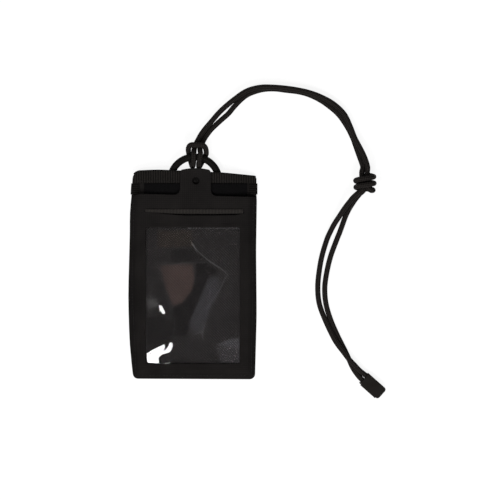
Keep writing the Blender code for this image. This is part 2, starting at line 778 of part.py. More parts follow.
def hitch_path():
    """The bight lies over both standing strands, each side loops behind the wire and comes up inside it."""
    halves = []
    for start, stops, out in HITCH_SIDES:
        turns = [round_wire(x * MM, angle) for x, angle in zip(stops, HITCH_ANGLES)]
        halves.append([*metres(start), *turns, *metres(out)])
    outer, inner = halves
    return [*outer[::-1], *metres([HITCH_BIGHT]), *inner]


# The barrel knot: two strands and the turns of one round both. Its shares are of the cord's thickness.
KNOT_CENTRE = (152.87 * MM, 73.8 * MM)
KNOT_TOP = (155.38 * MM, 83.97 * MM)
KNOT_CORE = (CORD + KNOT_CORE_ROOM) / math.sqrt(3)
KNOT_RADIUS = KNOT_CORE + CORD + KNOT_WRAP_ROOM
KNOT_EXIT_SHARES = ((-1.25, 0.0, 0.0), (-1.82, 0.114, 0.023), (-2.32, 0.341, 0.068))  # along, left, raised
SLOT_THROUGH, SLOT_IN, SLOT_OUT = -60, 60, 180
TURN_OUT_SWEEP = 75
TURN_OUT_SHARES = (  # of the way out to the turns, of the sweep, and along the knot
    (0.0, 0.0, 0.68), (0.12, 0.03, 0.114), (0.5, 0.24, -0.295), (0.88, 0.6, -0.227), (1.0, 1.0, 0.0),
)


def knot_frame():
    centre = Vector((*KNOT_CENTRE, KNOT_RADIUS + CORD / 2))
    along = (Vector((*KNOT_TOP, centre.z)) - centre).normalized()
    across = along.cross(Vector((0, 0, 1)))
    return centre, along, across


def knot_point(radius, angle, along_axis):
    centre, along, across = knot_frame()
    turn = math.radians(angle)
    outward = Vector((0, 0, 1)) * math.cos(turn) + across * math.sin(turn)
    return centre + along * along_axis + outward * radius


def knot_paths():
    """One strand runs straight through. The other goes down, winds back up round all, and down again."""
    first, last = SLOT_IN + TURN_OUT_SWEEP, SLOT_OUT - TURN_OUT_SWEEP + 360 * KNOT_TURNS
    half = KNOT_PITCH * (last - first) / 720
    end = half + KNOT_END
    wound = [knot_point(KNOT_CORE, SLOT_IN, end), knot_point(KNOT_CORE, SLOT_IN, 0)]
    for out, sweep, rise in TURN_OUT_SHARES:
        radius = KNOT_CORE + (KNOT_RADIUS - KNOT_CORE) * out
        wound.append(knot_point(radius, SLOT_IN + TURN_OUT_SWEEP * sweep, rise * CORD - half))
    steps = round((last - first) / 15)
    for k in range(1, steps):
        wound.append(knot_point(KNOT_RADIUS, first + (last - first) * k / steps, half * (2 * k / steps - 1)))
    for out, sweep, rise in reversed(TURN_OUT_SHARES):
        radius = KNOT_CORE + (KNOT_RADIUS - KNOT_CORE) * out
        wound.append(knot_point(radius, SLOT_OUT - TURN_OUT_SWEEP * sweep, half - rise * CORD))
    wound.append(knot_point(KNOT_CORE, SLOT_OUT, 0))
    through = [knot_point(KNOT_CORE, SLOT_THROUGH, end), knot_point(KNOT_CORE, SLOT_THROUGH, 0)]
    across = knot_frame()[2]
    for along, left, raised in KNOT_EXIT_SHARES:
        aside = across * left * CORD
        wound.append(knot_point(KNOT_CORE, SLOT_OUT, along * CORD) - aside)
        lifted = Vector((0, 0, raised * CORD))
        through.append(knot_point(KNOT_CORE, SLOT_THROUGH, along * CORD) - aside + lifted)
    return wound, through


CLIP_MOUTH = (153.68 * MM, -100.62 * MM)
CLIP_FAR_END = (170.37 * MM, -115.47 * MM)
CLIP_CORD_HEIGHT = CLIP_FLOOR + CLIP_TOOTH + GAP + CORD / 2
CLIP_LANE = (CORD + GAP * 2.2) / 2

# The free strands, as points in millimetres
UPPER_OUTER = (
    (12.5, 125.8, 3.2), (17.5, 131.2, 2.2), (24.3, 138.6, 2.2), (32.2, 146.0, 2.2), (42.2, 154.0, 2.2),
    (47.9, 157.5, 2.2), (53.3, 159.6, 2.2), (62.3, 161.3, 2.2), (73.1, 161.2, 2.2), (83.9, 160.3, 2.2),
    (94.7, 158.7, 2.2), (105.5, 156.2, 2.2), (116.3, 152.1, 2.2), (127.1, 146.0, 2.2),
    (136.3, 137.1, 2.2), (141.6, 126.3, 2.2), (145.4, 116.4, 2.2), (148.5, 110.1, 2.6),
    (151.3, 104.7, 4.4), (153.9, 99.3, 6.9), (155.9, 93.9, 9.3), (157.3, 88.3, 11),
)
UPPER_INNER = (
    (17.8, 123.8, 2.2), (25.7, 131.1, 2.2), (32.8, 137.6, 2.2), (37.6, 143.5, 2.2), (43.4, 150.2, 2.2),
    (48.8, 154.6, 2.2), (55.1, 157.4, 2.2), (64.1, 159.7, 2.2), (74.0, 160.1, 2.2), (83.9, 158.9, 2.2),
    (94.7, 157.6, 2.2), (103.7, 155.3, 2.2), (112.7, 151.3, 2.2), (121.7, 145.5, 2.2),
    (131.4, 137.1, 2.2), (139.0, 126.3, 2.2), (144.1, 116.4, 2.2), (146.4, 110.1, 2.6),
    (148.2, 104.7, 4.4), (150.2, 99.3, 6.9), (151.9, 93.9, 9.3), (152.9, 89.0, 11),
)
LOWER_LEFT = (
    (144.3, 62.0, 10.9), (141.7, 58.8, 9.3), (136.7, 52.3, 6.2), (132.2, 45.3, 3.8), (127.6, 38.1, 2.6),
    (123.9, 30.9, 2.2), (120.8, 23.7, 2.2), (116.5, 9.3, 2.2), (113.9, -5.1, 2.2), (112.7, -19.5, 2.2),
    (114.1, -33.9, 2.2), (119.3, -48.3, 2.2), (126.0, -62.7, 2.2), (130.2, -69.9, 2.2),
    (135.7, -77.1, 2.2), (140.9, -84.0, 2.2), (145.7, -88.8, 2.2), (150.7, -93.9, 3.4),
)
LOWER_RIGHT = (
    (147.1, 61.3, 6.5), (144.9, 58.2, 5.4), (141.1, 52.1, 3.6), (137.8, 45.3, 2.6), (135.2, 38.1, 2.2),
    (132.6, 30.9, 2.2), (129.7, 23.7, 2.2), (124.4, 9.3, 2.2), (120.9, -5.1, 2.2), (119.0, -19.5, 2.2),
    (120.1, -33.9, 2.2), (124.3, -48.3, 2.2), (130.5, -62.7, 2.2), (134.1, -69.9, 2.2),
    (137.7, -77.1, 2.2), (141.2, -84.7, 2.2), (144.0, -91.0, 2.2), (147.6, -97.1, 3.4),
)
RIDE_SPREAD = 5


def clip_frame():
    """The clip's own frame: origin on the surface under its middle, +X from the mouth to the far end."""
    mouth, far = Vector((*CLIP_MOUTH, 0)), Vector((*CLIP_FAR_END, 0))
    turn = math.atan2(far.y - mouth.y, far.x - mouth.x)
    return Matrix.Translation((mouth + far) / 2) @ Matrix.Rotation(turn, 4, "Z")


def clip_lane(side):
    """The two ends of a strand's straight run inside the clip."""
    mouth = -CLIP_LENGTH / 2
    across = CLIP_SHIFT + side * CLIP_LANE
    return [clip_frame() @ Vector((u, across, CLIP_CORD_HEIGHT)) for u in (mouth, mouth + CLIP_CORD_INSIDE)]


def tubes():
    """The neck loop: a cow hitch on the ring, two strands to a barrel knot, and two more to the clip."""
    hitch_stops = hitch_path()
    wound_stops, through_stops = knot_paths()

    def strand(start, route, end):
        """The free run from the last two stops of one piece to the first two of the next."""
        stops = metres(route)
        points = spline([start[1], *stops, end[0]], FINE_STEP, start[0], end[1])
        return [Vector((p.x, p.y, max(p.z, CORD / 2))) for p in points], stops

    # The outer strand winds. The inner one runs straight through and comes out on the left.
    outer, outer_stops = strand(hitch_stops[1::-1], UPPER_OUTER, wound_stops[:2])
    inner, inner_stops = strand(hitch_stops[-2:], UPPER_INNER, through_stops[:2])
    left, left_stops = strand(through_stops[-2:], LOWER_LEFT, clip_lane(1))
    right, right_stops = strand(wound_stops[-2:], LOWER_RIGHT, clip_lane(-1))
    hitch = spline(hitch_stops, BEND_STEP, outer_stops[0], inner_stops[0])
    wound = spline(wound_stops, BEND_STEP, outer_stops[-1], right_stops[0])
    through = spline(through_stops, END_STEP, inner_stops[-1], left_stops[0])
    ride_over(outer, inner, RIDE_SPREAD)
    ride_over(left, right, RIDE_SPREAD)
    plain = {
        "lanyard_upper_outer": trimmed(outer, JOIN_GAP, JOIN_GAP),
        "lanyard_upper_inner": trimmed(inner, JOIN_GAP, JOIN_GAP),
        "lanyard_lower_left": trimmed(left, JOIN_GAP, 0),
        "lanyard_lower_right": trimmed(right, JOIN_GAP, 0),
    }
    made = {name: tube_points(path) for name, path in plain.items()}
    made["lanyard_lower_left"].append(clip_lane(1)[1])
    made["lanyard_lower_right"].append(clip_lane(-1)[1])
    made["lanyard_hitch"] = hitch
    made["lanyard_knot_wound"] = wound
    made["lanyard_knot_through"] = through
    for name, path in made.items():
        tube(name, path, CORD, BRAID)
    fine = {name: even_steps(path, FINE_STEP / 3) for name, path in made.items()}
    for first, second in (
        ("hitch", "hitch"), ("knot_wound", "knot_wound"), ("knot_wound", "knot_through"),
        ("upper_outer", "upper_inner"), ("lower_left", "lower_right"),
    ):
        gap = least_gap(fine[f"lanyard_{first}"], None if first == second else fine[f"lanyard_{second}"])
        print(f"least gap from {first} to {second} {gap:.2f} mm")
    for name, path in fine.items():
        print(f"{name} {sum((b - a).length for a, b in zip(path, path[1:])) / MM:.0f} mm long")


# Clip

def loft(name, rings, group=WALLET):
    """A closed solid through rings of equally many points, with flat ends."""
    mesh = bmesh.new()
    rows = [[mesh.verts.new(point) for point in ring] for ring in rings]
    for low, high in zip(rows, rows[1:]):
        for k in range(len(low)):
            mesh.faces.new((low[k - 1], low[k], high[k], high[k - 1]))
    mesh.faces.new(rows[0])
    mesh.faces.new(rows[-1])
    bmesh.ops.recalc_face_normals(mesh, faces=mesh.faces)
    data = bpy.data.meshes.new(name)
    mesh.to_mesh(data)
    mesh.free()
    obj = bpy.data.objects.new(name, data)
    group.objects.link(obj)
    obj.hide_render = group is CUTTERS
    obj.display_type = "WIRE" if group is CUTTERS else "TEXTURED"
    return obj


def rod(name, radius, across, level, start, end, group=CUTTERS, steps=20):
    """A round bar along the clip."""
    turns = [math.tau * k / steps for k in range(steps)]
    circle = [(across + radius * math.cos(turn), level + radius * math.sin(turn)) for turn in turns]
    return loft(name, [[Vector((u, *spot)) for spot in circle] for u in (start, end)], group)


def clip_slab(name, levels):
    """The clip's plan at each (height, inset), joined into a solid."""
    half = CLIP_LENGTH / 2
    rings = []
    for level, inset in levels:
        ear = CLIP_EDGE
        plan = rounded([
            (-half + inset / 2, -CLIP_HINGE_SIDE + inset, ear),
            (half - inset, -CLIP_HINGE_SIDE + inset, CLIP_CORNER),
            (half - inset, CLIP_SIDE - inset, CLIP_CORNER),
            (-half + inset / 2, CLIP_SIDE - inset, ear),
        ])
        rings.append([Vector((point.x, point.y, level)) for point in plan])
    return loft(name, rings)


def clip():
    """A tray and a lid that folds down on it. Both have lanes for the two strands and teeth across them."""
    frame = clip_frame()
    half = CLIP_LENGTH / 2
    split = CLIP_CORD_HEIGHT
    top = split * 2
    base = clip_slab("clip_base", [(0, CLIP_EDGE), (CLIP_EDGE, 0), (split - GAP / 2, 0)])
    lid = clip_slab("clip_lid", [(split + GAP / 2, 0), (top - CLIP_EDGE, 0), (top, CLIP_EDGE)])
    ends = half - CLIP_CORNER
    bead = rod("lid_bead_cutter", CLIP_HINGE_RADIUS, -CLIP_HINGE_SIDE, split, -ends, ends)
    boolean(lid, "UNION", bead)
    ends = half + OVERRUN
    seat = rod("bead_seat_cutter", CLIP_HINGE_RADIUS + GAP, -CLIP_HINGE_SIDE, split, -ends, ends)
    boolean(base, "DIFFERENCE", seat)
    lane_radius = CORD / 2 + GAP
    for side in (-1, 1):
        across = CLIP_SHIFT + side * CLIP_LANE
        lane = rod(f"lane_cutter_{side}", lane_radius, across, split, -half - OVERRUN, -half + CLIP_CHANNEL)
        for piece in (base, lid):
            boolean(piece, "DIFFERENCE", lane)
    reach = CLIP_MOUTH_DEPTH
    radius = (CLIP_SIDE ** 2 + reach ** 2) / (2 * reach)
    mouth = [
        Vector((-half + reach - radius + radius * math.cos(math.tau * k / 64),
                (CLIP_SIDE - CLIP_HINGE_SIDE) / 2 + radius * math.sin(math.tau * k / 64)))
        for k in range(64)
    ]
    bite = prism("mouth_cutter", mouth, -OVERRUN, top + OVERRUN)
    pitch = CLIP_CHANNEL / (CLIP_TOOTH_COUNT + 1)
    for piece in (base, lid):
        boolean(piece, "DIFFERENCE", bite)
    low, high = split - CORD / 2 - GAP - CLIP_TOOTH, split + CORD / 2 + GAP + CLIP_TOOTH
    for k in range(CLIP_TOOTH_COUNT):
        u = -half + pitch * (k + 1)
        groove = box_outline(u, u + pitch * 0.6, CLIP_SHIFT - 2 * CLIP_LANE, CLIP_SHIFT + 2 * CLIP_LANE)
        cutter = prism(f"tooth_cutter_{k}", groove, low, high)
        for piece in (base, lid):
            boolean(piece, "DIFFERENCE", cutter)
    for piece in (base, lid):
        settle(piece)
        finish(piece, CLIP_PLASTIC, 30)
    hinge = Vector((0, -CLIP_HINGE_SIDE, split))
    lid.data.transform(Matrix.Translation(-hinge))
    lid.matrix_world = frame @ Matrix.Translation(hinge)
    base.matrix_world = frame


def centre_on_origin():
    """Moves everything so that the box round the wallet and its ring sits over the origin."""
    bpy.context.view_layer.update()
    graph = bpy.context.evaluated_depsgraph_get()
    corners = []
    for obj in WALLET.objects:
        if not obj.name.startswith(("lanyard", "clip")):
            mesh = obj.evaluated_get(graph).to_mesh()
            corners += [obj.matrix_world @ vertex.co for vertex in mesh.vertices]
    middle = [(min(c[axis] for c in corners) + max(c[axis] for c in corners)) / 2 for axis in (0, 1)]
    shift = Vector((-middle[0], -middle[1], 0))
    for obj in [*WALLET.objects, *CUTTERS.objects]:
        obj.matrix_world = Matrix.Translation(shift) @ obj.matrix_world
    print(f"centred by {shift.x / MM:.3f}, {shift.y / MM:.3f} mm")
    for name in ("d_ring", "pull_tab", "clip_lid"):
        place = bpy.data.objects[name].matrix_world
        print(f"{name} turns about {tuple(round(v, 6) for v in place.translation)} along "
              f"{tuple(round(v, 5) for v in place.to_3x3() @ Vector((1, 0, 0)))}")


back_panel()
front_panel()
pull_tab()
tapes()
inner_sheets()
d_ring()
ring_keeper()
tubes()
clip()
centre_on_origin()
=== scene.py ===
"""Looks for the neck document wallet: woven sheets, ribbed tapes, clear film, pile and braided cord.

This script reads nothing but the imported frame, so every size and route of the solids is said here again.
"""

from functools import partial, reduce
from math import asin, atan2, copysign, cos, exp, pi, radians, sin, sqrt, tan, tau

import bmesh
import bpy
import numpy as np
from mathutils import Matrix, Vector, noise


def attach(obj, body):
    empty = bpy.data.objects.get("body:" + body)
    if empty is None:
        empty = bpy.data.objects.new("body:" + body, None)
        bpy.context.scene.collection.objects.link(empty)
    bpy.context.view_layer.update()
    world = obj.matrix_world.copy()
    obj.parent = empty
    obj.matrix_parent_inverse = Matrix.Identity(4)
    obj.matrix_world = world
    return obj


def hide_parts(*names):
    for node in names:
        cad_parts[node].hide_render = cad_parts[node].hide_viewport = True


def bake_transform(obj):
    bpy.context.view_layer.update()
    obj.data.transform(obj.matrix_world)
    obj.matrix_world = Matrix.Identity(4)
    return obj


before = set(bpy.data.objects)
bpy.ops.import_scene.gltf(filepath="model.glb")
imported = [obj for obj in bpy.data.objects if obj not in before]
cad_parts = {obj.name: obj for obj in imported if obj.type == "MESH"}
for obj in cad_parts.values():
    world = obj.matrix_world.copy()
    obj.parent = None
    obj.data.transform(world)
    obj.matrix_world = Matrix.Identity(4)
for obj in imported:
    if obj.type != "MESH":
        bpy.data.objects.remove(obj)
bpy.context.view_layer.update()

MM = 0.001

# Driving dimensions of the pouch
BODY_WIDTH = 116 * MM
BODY_HEIGHT = 188.6 * MM
FABRIC = 1 * MM
GAP = 0.3 * MM  # left between pieces that touch
POCKET_DEPTH = 3.2 * MM
CARD_DEPTH = 1.2 * MM
FILM = 0.4 * MM
LINING = 0.6 * MM
TAPE = 0.6 * MM
HOOK_AND_LOOP = 0.8 * MM
OVERRUN = 5 * MM  # how far a cutter runs past what it cuts

# Outlines: shares of the half-width and of the height, and a corner radius
CORNER = 5 * MM
SOFT_BEND = 500 * MM
TOP_BEND = 160 * MM
HEADER_OUTLINE_SHARES = (  # narrower than the pouch by its side tapes
    (-0.956, 0.882, SOFT_BEND), (-0.930, 0.999, 7 * MM), (-0.532, 1.003, TOP_BEND),
    (0.458, 0.989, TOP_BEND), (0.989, 0.974, 2.2 * MM), (0.989, 0.888, SOFT_BEND),
)
POUCH_OUTLINE_SHARES = (
    (0.995, 0.862, SOFT_BEND), (0.984, 0.620, SOFT_BEND), (0.993, 0.308, SOFT_BEND), (0.966, 0.000, CORNER),
    (-0.929, 0.003, CORNER), (-0.987, 0.165, SOFT_BEND), (-1.009, 0.395, SOFT_BEND),
    (-0.982, 0.718, SOFT_BEND), (-0.985, 0.803, SOFT_BEND),
)
MOUTH_CORNERS = (  # share of the half-width, depth below the top edge, corner radius
    (-0.904, 21.1 * MM, 7 * MM), (0.986, 24.1 * MM, 1.5 * MM),
)

# Depths below the top edge, and heights above the bottom one
MOUTH_DEPTH = 22.3 * MM
MOUTH_RISE = 3.3 * MM
RISE_DEPTH = 49.3 * MM  # where the front panel starts to rise towards the mouth
LIFT_DEPTH = 39.4 * MM  # where the back panel starts to rise over the ring's bar
LIFTED_DEPTH = 16 * MM
SLIT_DEPTH = 39.8 * MM
SLIT_MARGIN = 13.2 * MM
SLIT_WIDTH = BODY_WIDTH - 2 * SLIT_MARGIN
SLIT_SHIFT = 1.3 * MM
SLIT_OPENING = 2.4 * MM
SLIT_SAG = 2 * MM
WINDOW_DEPTH = 51.7 * MM
WINDOW_BOTTOM = 14.7 * MM
WINDOW_HALF = BODY_WIDTH / 2 - 15.65 * MM
WINDOW_CORNER = 1.5 * MM
FILM_BORDER = 4.6 * MM
LINING_BORDER = 6.1 * MM
LINING_DEPTH = 30.9 * MM
LINING_TUCK = 3.4 * MM
EDGE_SHOULDER = 9 * MM

# Header, tab, hook and loop strips, grosgrain tapes
TAB_WIDTH = 27.9 * MM
TAB_CENTRE = 2.5 * MM
TAB_RISE = 1.7 * MM  # above the top edge
TAB_ARCH = 1.9 * MM
TAB_CORNER = 3 * MM
TAB_FILLET = 5 * MM
HOLE_RADIUS = 3.15 * MM
HOLE_CENTRE = 2.9 * MM
HOLE_DEPTH = 9.7 * MM
TAPE_BACK_SHARE = 0.42
TOP_TAPE_DEPTH = 11.5 * MM
SIDE_TAPE_FLAP = 6.6 * MM
SIDE_TAPE_LOW_DEPTH = 21.7 * MM
SLIT_TAPE_FLAP = 3.5 * MM
STRIP_WIDTH = BODY_WIDTH - 2 * 11.65 * MM
STRIP_CENTRE = 2.5 * MM
LOOP_DEPTHS = (29.5 * MM, 12.1 * MM)
HOOK_DEPTHS = (30.1 * MM, 24.3 * MM)
HEADER_DROOP_SHARE = 0.5
HEADER_FLAT_MARGIN = 3 * MM

# D-ring and its webbing keeper
RING_INNER_WIDTH = 37.5 * MM
RING_WIRE = 6.4 * MM
RING_CENTRE = 1.6 * MM
BAR_Y = 76.9 * MM
BAR_DEPTH = 9.6 * MM
RING_TILT = radians(11.6)  # the cord passes under its bow
KEEPER_WIDTH = 26 * MM
KEEPER_TAIL = 9 * MM

# Neck cord
CORD = 4.4 * MM
CORD_SEEN = 4.85 * MM  # with its braid's fuzz; the strands' routes leave room for it
FINE_STEP = 2 * MM
HITCH_SLACK = 2.7 * MM  # how far its turns hang below the wire
HITCH_SPLIT_SHARE = 0.64  # where its two cords meet, out of sight behind the ring
KNOT_CENTRE = (154.8 * MM, 74.9 * MM)
KNOT_TOP = (154.4 * MM, 85.1 * MM)
KNOT_PITCH = 5.85 * MM
KNOT_TURNS = 2
KNOT_CORE = (CORD + 0.5 * MM) / sqrt(3)  # to the middle of each of the three strands inside it
KNOT_RADIUS = KNOT_CORE + CORD + 0.9 * MM  # to the middle of the turns round them
KNOT_END = 4.2 * MM
RIDE_SPREAD = 5  # steps of the lift where one strand lies on another
TUBE_SIDES = 14
TUBE_STEP = 1.5 * MM
BRAID_PITCH = 2.6 * MM

# Cord clip
CLIP_MOUTH = (153.68 * MM, -100.62 * MM)
CLIP_FAR_END = (170.37 * MM, -115.47 * MM)
CLIP_LENGTH = 22.4 * MM
CLIP_CORD_INSIDE = 14 * MM
CLIP_SHIFT = 0.55 * MM  # of both lanes, away from the hinge
CLIP_LANE = (CORD + GAP * 2.2) / 2
CLIP_CORD_HEIGHT = 1.5 * MM + GAP + CORD / 2  # over its floor and teeth

# Finish: meshes, rounded edges, pressed lines, thread
CLOTH_MESH, BACK_MESH, LINING_MESH, FILM_MESH, PILE_MESH = 2.2 * MM, 2.6 * MM, 2 * MM, 1.3 * MM, 0.9 * MM
CLOTH_EDGE, PILE_EDGE, TAPE_EDGE = 0.28 * MM, 0.2 * MM, 0.15 * MM
LINING_EDGE, FILM_EDGE = 0.12 * MM, 0.08 * MM
ARC_STEPS = 5  # in a quarter turn
HOLE_POINTS = 32
WELD_OFFSET = 4.1 * MM
WELD_WIDTH = 0.9 * MM
WELD_DEPTH = 0.5 * MM
ROLL_OFFSET = 4.4 * MM
LIP_REACH = 1.3 * MM
STITCH = 0.45 * MM
STITCH_PITCH = 3 * MM
STITCH_SHARE = 0.7

# Reference picture: pixels to metres, and the pixel at the middle of the wallet's box
PIXEL = 0.9 * MM
PIXEL_CENTRE = (192.75, 266.3)
VIEW_PIXELS = 500
VIEW_HEIGHT = 1.8
FOCUS_LEVEL = 8 * MM
GLINT_LAMP = (-0.55, -0.45, 1.45)
UP = Vector((0, 0, 1))
SHIFT = Vector((0.253 * MM, 0.269 * MM, 0))  # the solids were centred on their box by this much

RING_MIDDLE = (RING_INNER_WIDTH + RING_WIRE) / 2
TOP = BAR_Y + BAR_DEPTH
BOTTOM = TOP - BODY_HEIGHT
WINDOW_LOW, WINDOW_HIGH = BOTTOM + WINDOW_BOTTOM, TOP - WINDOW_DEPTH
SLIT_LEFT = SLIT_SHIFT - SLIT_WIDTH / 2
TAB_LEFT, TAB_RIGHT = TAB_CENTRE - TAB_WIDTH / 2, TAB_CENTRE + TAB_WIDTH / 2
TAPE_STAND = GAP + TAPE


def smooth(value, start=0.0, end=1.0):
    """0 before the start and 1 past the end, changing smoothly between."""
    t = min(max((value - start) / (end - start), 0.0), 1.0)
    return t * t * (3 - 2 * t)


def pixel(x, y, z=0.0):
    return Vector(((x - PIXEL_CENTRE[0]) * PIXEL, (PIXEL_CENTRE[1] - y) * PIXEL, z)) + SHIFT


EYE = pixel(VIEW_PIXELS / 2, VIEW_PIXELS / 2, VIEW_HEIGHT)


def circle(x, y, radius, count):
    turns = (tau * k / count for k in range(count))
    return [Vector((x + radius * cos(turn), y + radius * sin(turn))) for turn in turns]


# Outlines

def rounded(corners):
    """A closed outline through (x, y, radius) corners, each turned on an arc of its radius."""
    points = []
    for i, (x, y, radius) in enumerate(corners):
        here = Vector((x, y))
        before, after = (Vector(corners[k % len(corners)][:2]) - here for k in (i - 1, i + 1))
        turn = pi - before.angle(after)
        if radius == 0 or turn == 0:
            points.append(here)
            continue
        reach = min(radius * tan(turn / 2), before.length / 2, after.length / 2)
        radius = reach / tan(turn / 2)
        start = here + before.normalized() * reach
        middle = (before.normalized() + after.normalized()).normalized()
        centre = here + middle * radius / cos(turn / 2)
        side = copysign(1, before.x * after.y - before.y * after.x)
        steps = max(2, round(ARC_STEPS * turn / (pi / 2)))
        for k in range(steps + 1):
            spin = Matrix.Rotation(-side * turn * k / steps, 2)
            points.append(centre + spin @ (start - centre))
    return points


def box_outline(left, right, low, high, radius=0.0):
    return rounded([(left, low, radius), (right, low, radius), (right, high, radius), (left, high, radius)])


def wallet_corners(shares):
    return [(x * BODY_WIDTH / 2, BOTTOM + y * (BODY_HEIGHT - TAPE_STAND), radius) for x, y, radius in shares]


POUCH_CORNERS = wallet_corners(POUCH_OUTLINE_SHARES)
BACK_CORNERS = wallet_corners(HEADER_OUTLINE_SHARES) + POUCH_CORNERS
BACK_OUTLINE = rounded(BACK_CORNERS)
SIDE_CORNERS = {
    side: sorted((y, x) for x, y, radius in BACK_CORNERS if x * side > 0.45 * BODY_WIDTH) for side in (-1, 1)
}
MOUTH_LEFT, MOUTH_RIGHT = (
    (share * BODY_WIDTH / 2, TOP - depth, radius) for share, depth, radius in MOUTH_CORNERS
)


def side_x(side, y):
    """The back panel's left (-1) or right (+1) edge at a height."""
    return float(np.interp(y, *zip(*SIDE_CORNERS[side])))


def from_seam(x, y):
    """How far inside the pouch's sewn edges a point lies."""
    return min(x - side_x(-1, y), side_x(1, y) - x, y - BOTTOM)


def mouth_y(x):
    """The front panel's top edge falls a little from left to right."""
    return float(np.interp(x, *list(zip(MOUTH_LEFT, MOUTH_RIGHT))[:2]))


# How the sheets lie: each is a thin slab whose underside follows one of these height fields

BAR_Z = TAPE + GAP + RING_WIRE / 2
HEADER_STAND = RING_WIRE / 2 / cos(RING_TILT) + 2 * GAP + TAPE
MOUTH_Y = TOP - MOUTH_DEPTH
LINING_STACK = GAP + FILM + CARD_DEPTH + LINING
BODY_LEVEL = FABRIC + POCKET_DEPTH + LINING_STACK
HEADER_FLAT = RING_INNER_WIDTH / 2 + RING_WIRE + HEADER_FLAT_MARGIN
LINING_HALF = WINDOW_HALF + LINING_BORDER
LINING_LOW = WINDOW_LOW - LINING_BORDER * 1.35
LINING_HIGH = TOP - LINING_DEPTH


def header_plane(y):
    return BAR_Z + HEADER_STAND + (y - BAR_Y) * tan(RING_TILT)


TAB_TIP_Y = TOP + TAB_RISE
TAB_TIP_LEVEL = header_plane(TAB_TIP_Y) + FABRIC + TAPE_STAND + GAP


def back_under(x, y):
    """Flat on the surface, then rising over the ring's bar and drooping towards the header's ends."""
    droop = HEADER_DROOP_SHARE * smooth(abs(x - RING_CENTRE), HEADER_FLAT, BODY_WIDTH / 2)
    return header_plane(y) * smooth(y, TOP - LIFT_DEPTH, TOP - LIFTED_DEPTH) * (1 - droop)


def front_under(x, y):
    """Sewn down along the sides and bottom, and standing proud of the header at the mouth."""
    seam = back_under(x, y) + FABRIC + GAP
    level = BODY_LEVEL + MOUTH_RISE * smooth(y, TOP - RISE_DEPTH, MOUTH_Y)
    level += (TAB_TIP_LEVEL - BODY_LEVEL - MOUTH_RISE) * max(0.0, (y - MOUTH_Y) / (TAB_TIP_Y - MOUTH_Y))
    share = sin(pi / 2 * min(max(from_seam(x, y) / EDGE_SHOULDER, 0), 1))
    return seam + (level - seam) * share


def lining_under(x, y):
    """A shallow tray: its rim is sewn up under the film and the front panel, its floor holds the cards."""
    rim = min(LINING_HALF - abs(x), y - LINING_LOW)
    side_rim = (CARD_DEPTH - GAP) * (1 - smooth(rim / LINING_TUCK))
    top_rim = (CARD_DEPTH + FILM) * (1 - smooth((LINING_HIGH - y) / LINING_TUCK))
    return front_under(x, y) - LINING_STACK + max(side_rim, top_rim)


def raised(under, lift):
    return lambda x, y: under(x, y) + lift


back_top, front_top = raised(back_under, FABRIC), raised(front_under, FABRIC)
film_under = raised(front_under, -GAP - FILM)
loop_under, hook_under = raised(back_top, GAP), raised(front_under, -GAP - HOOK_AND_LOOP)


# The cord's routes

def metres(points):
    """Routes are written in millimetres, and a point without a height lies on the surface."""
    return [Vector((*point, CORD / 2 / MM)[:3]) * MM for point in points]


def even_steps(fine, step):
    reach = np.cumsum([0.0] + [(b - a).length for a, b in zip(fine, fine[1:])])
    targets = np.linspace(0, reach[-1], max(2, round(reach[-1] / step)) + 1)
    return [Vector(spot) for spot in zip(*(np.interp(targets, reach, axis) for axis in zip(*fine)))]


def length_of(path):
    return sum((b - a).length for a, b in zip(path, path[1:]))


def spline(points, step, before, after):
    """Even steps along a smooth curve through these points, in line with the points before and after them."""
    padded = [before, *points, after]
    fine, per_span = [], 12
    for a, b, c, d in zip(padded, padded[1:], padded[2:], padded[3:]):
        for k in range(per_span):
            t = k / per_span
            fine.append(b + t / 2 * (c - a + t * (2 * a - 5 * b + 4 * c - d + t * (3 * b - a - 3 * c + d))))
    fine.append(points[-1])
    return even_steps(fine, step)


def ride_over(rider, lower):
    """Lifts a strand just clear of the one that it lies on, and eases the lift out either side."""
    clear = CORD_SEEN + GAP * 0.7
    needed = []
    for point in rider:
        near = [(other.z, (other - point).xy.length_squared) for other in lower]
        lifted = [z + sqrt(clear ** 2 - apart) for z, apart in near if apart < clear ** 2]
        needed.append(max([point.z, *lifted]))
    around = [slice(max(0, i - RIDE_SPREAD), i + RIDE_SPREAD + 1) for i in range(len(rider))]
    held = [max(needed[near]) for near in around]
    for i, point in enumerate(rider):
        near = held[around[i]]
        eased = sum(near) / len(near)
        from_end = smooth(min(i, len(rider) - 1 - i) / RIDE_SPREAD)
        point.z += (max(eased, needed[i]) - point.z) * from_end


# The cow hitch's two halves: from the bight up into a side loop, the stops along the wire, and the way out
HITCH_SIDES = (
    (
        ((-1.6, 108.9, 13.4), (-3.7, 106.5, 9.8)), (-2.9, -3, -2.9, -1.8, -0.1, 0.9, 1.2, 1.2),
        ((1.5, 106.1, 8.8), (2.9, 110, 8.4), (5, 114.2, 6.9), (7.5, 118.8, 5.9), (10.1, 122.5, 5.6)),
    ),
    (
        ((9.3, 108.6, 13.4), (11.6, 106.1, 9.8)), (10.2, 10.3, 9.7, 8.5, 7.15, 6.45, 6.15, 6.15),
        ((6.5, 106.1, 8.8), (7.75, 109.2, 6.4), (9.3, 113, 4.2), (11.4, 116.8, 2.7), (14, 120.4, 2.4)),
    ),
)
HITCH_BIGHT = (3.55, 108.9, 13.5)
HITCH_ANGLES = (126, 170, 215, 262, 305, 345, 384, 408)  # of each stop round the wire, from its front


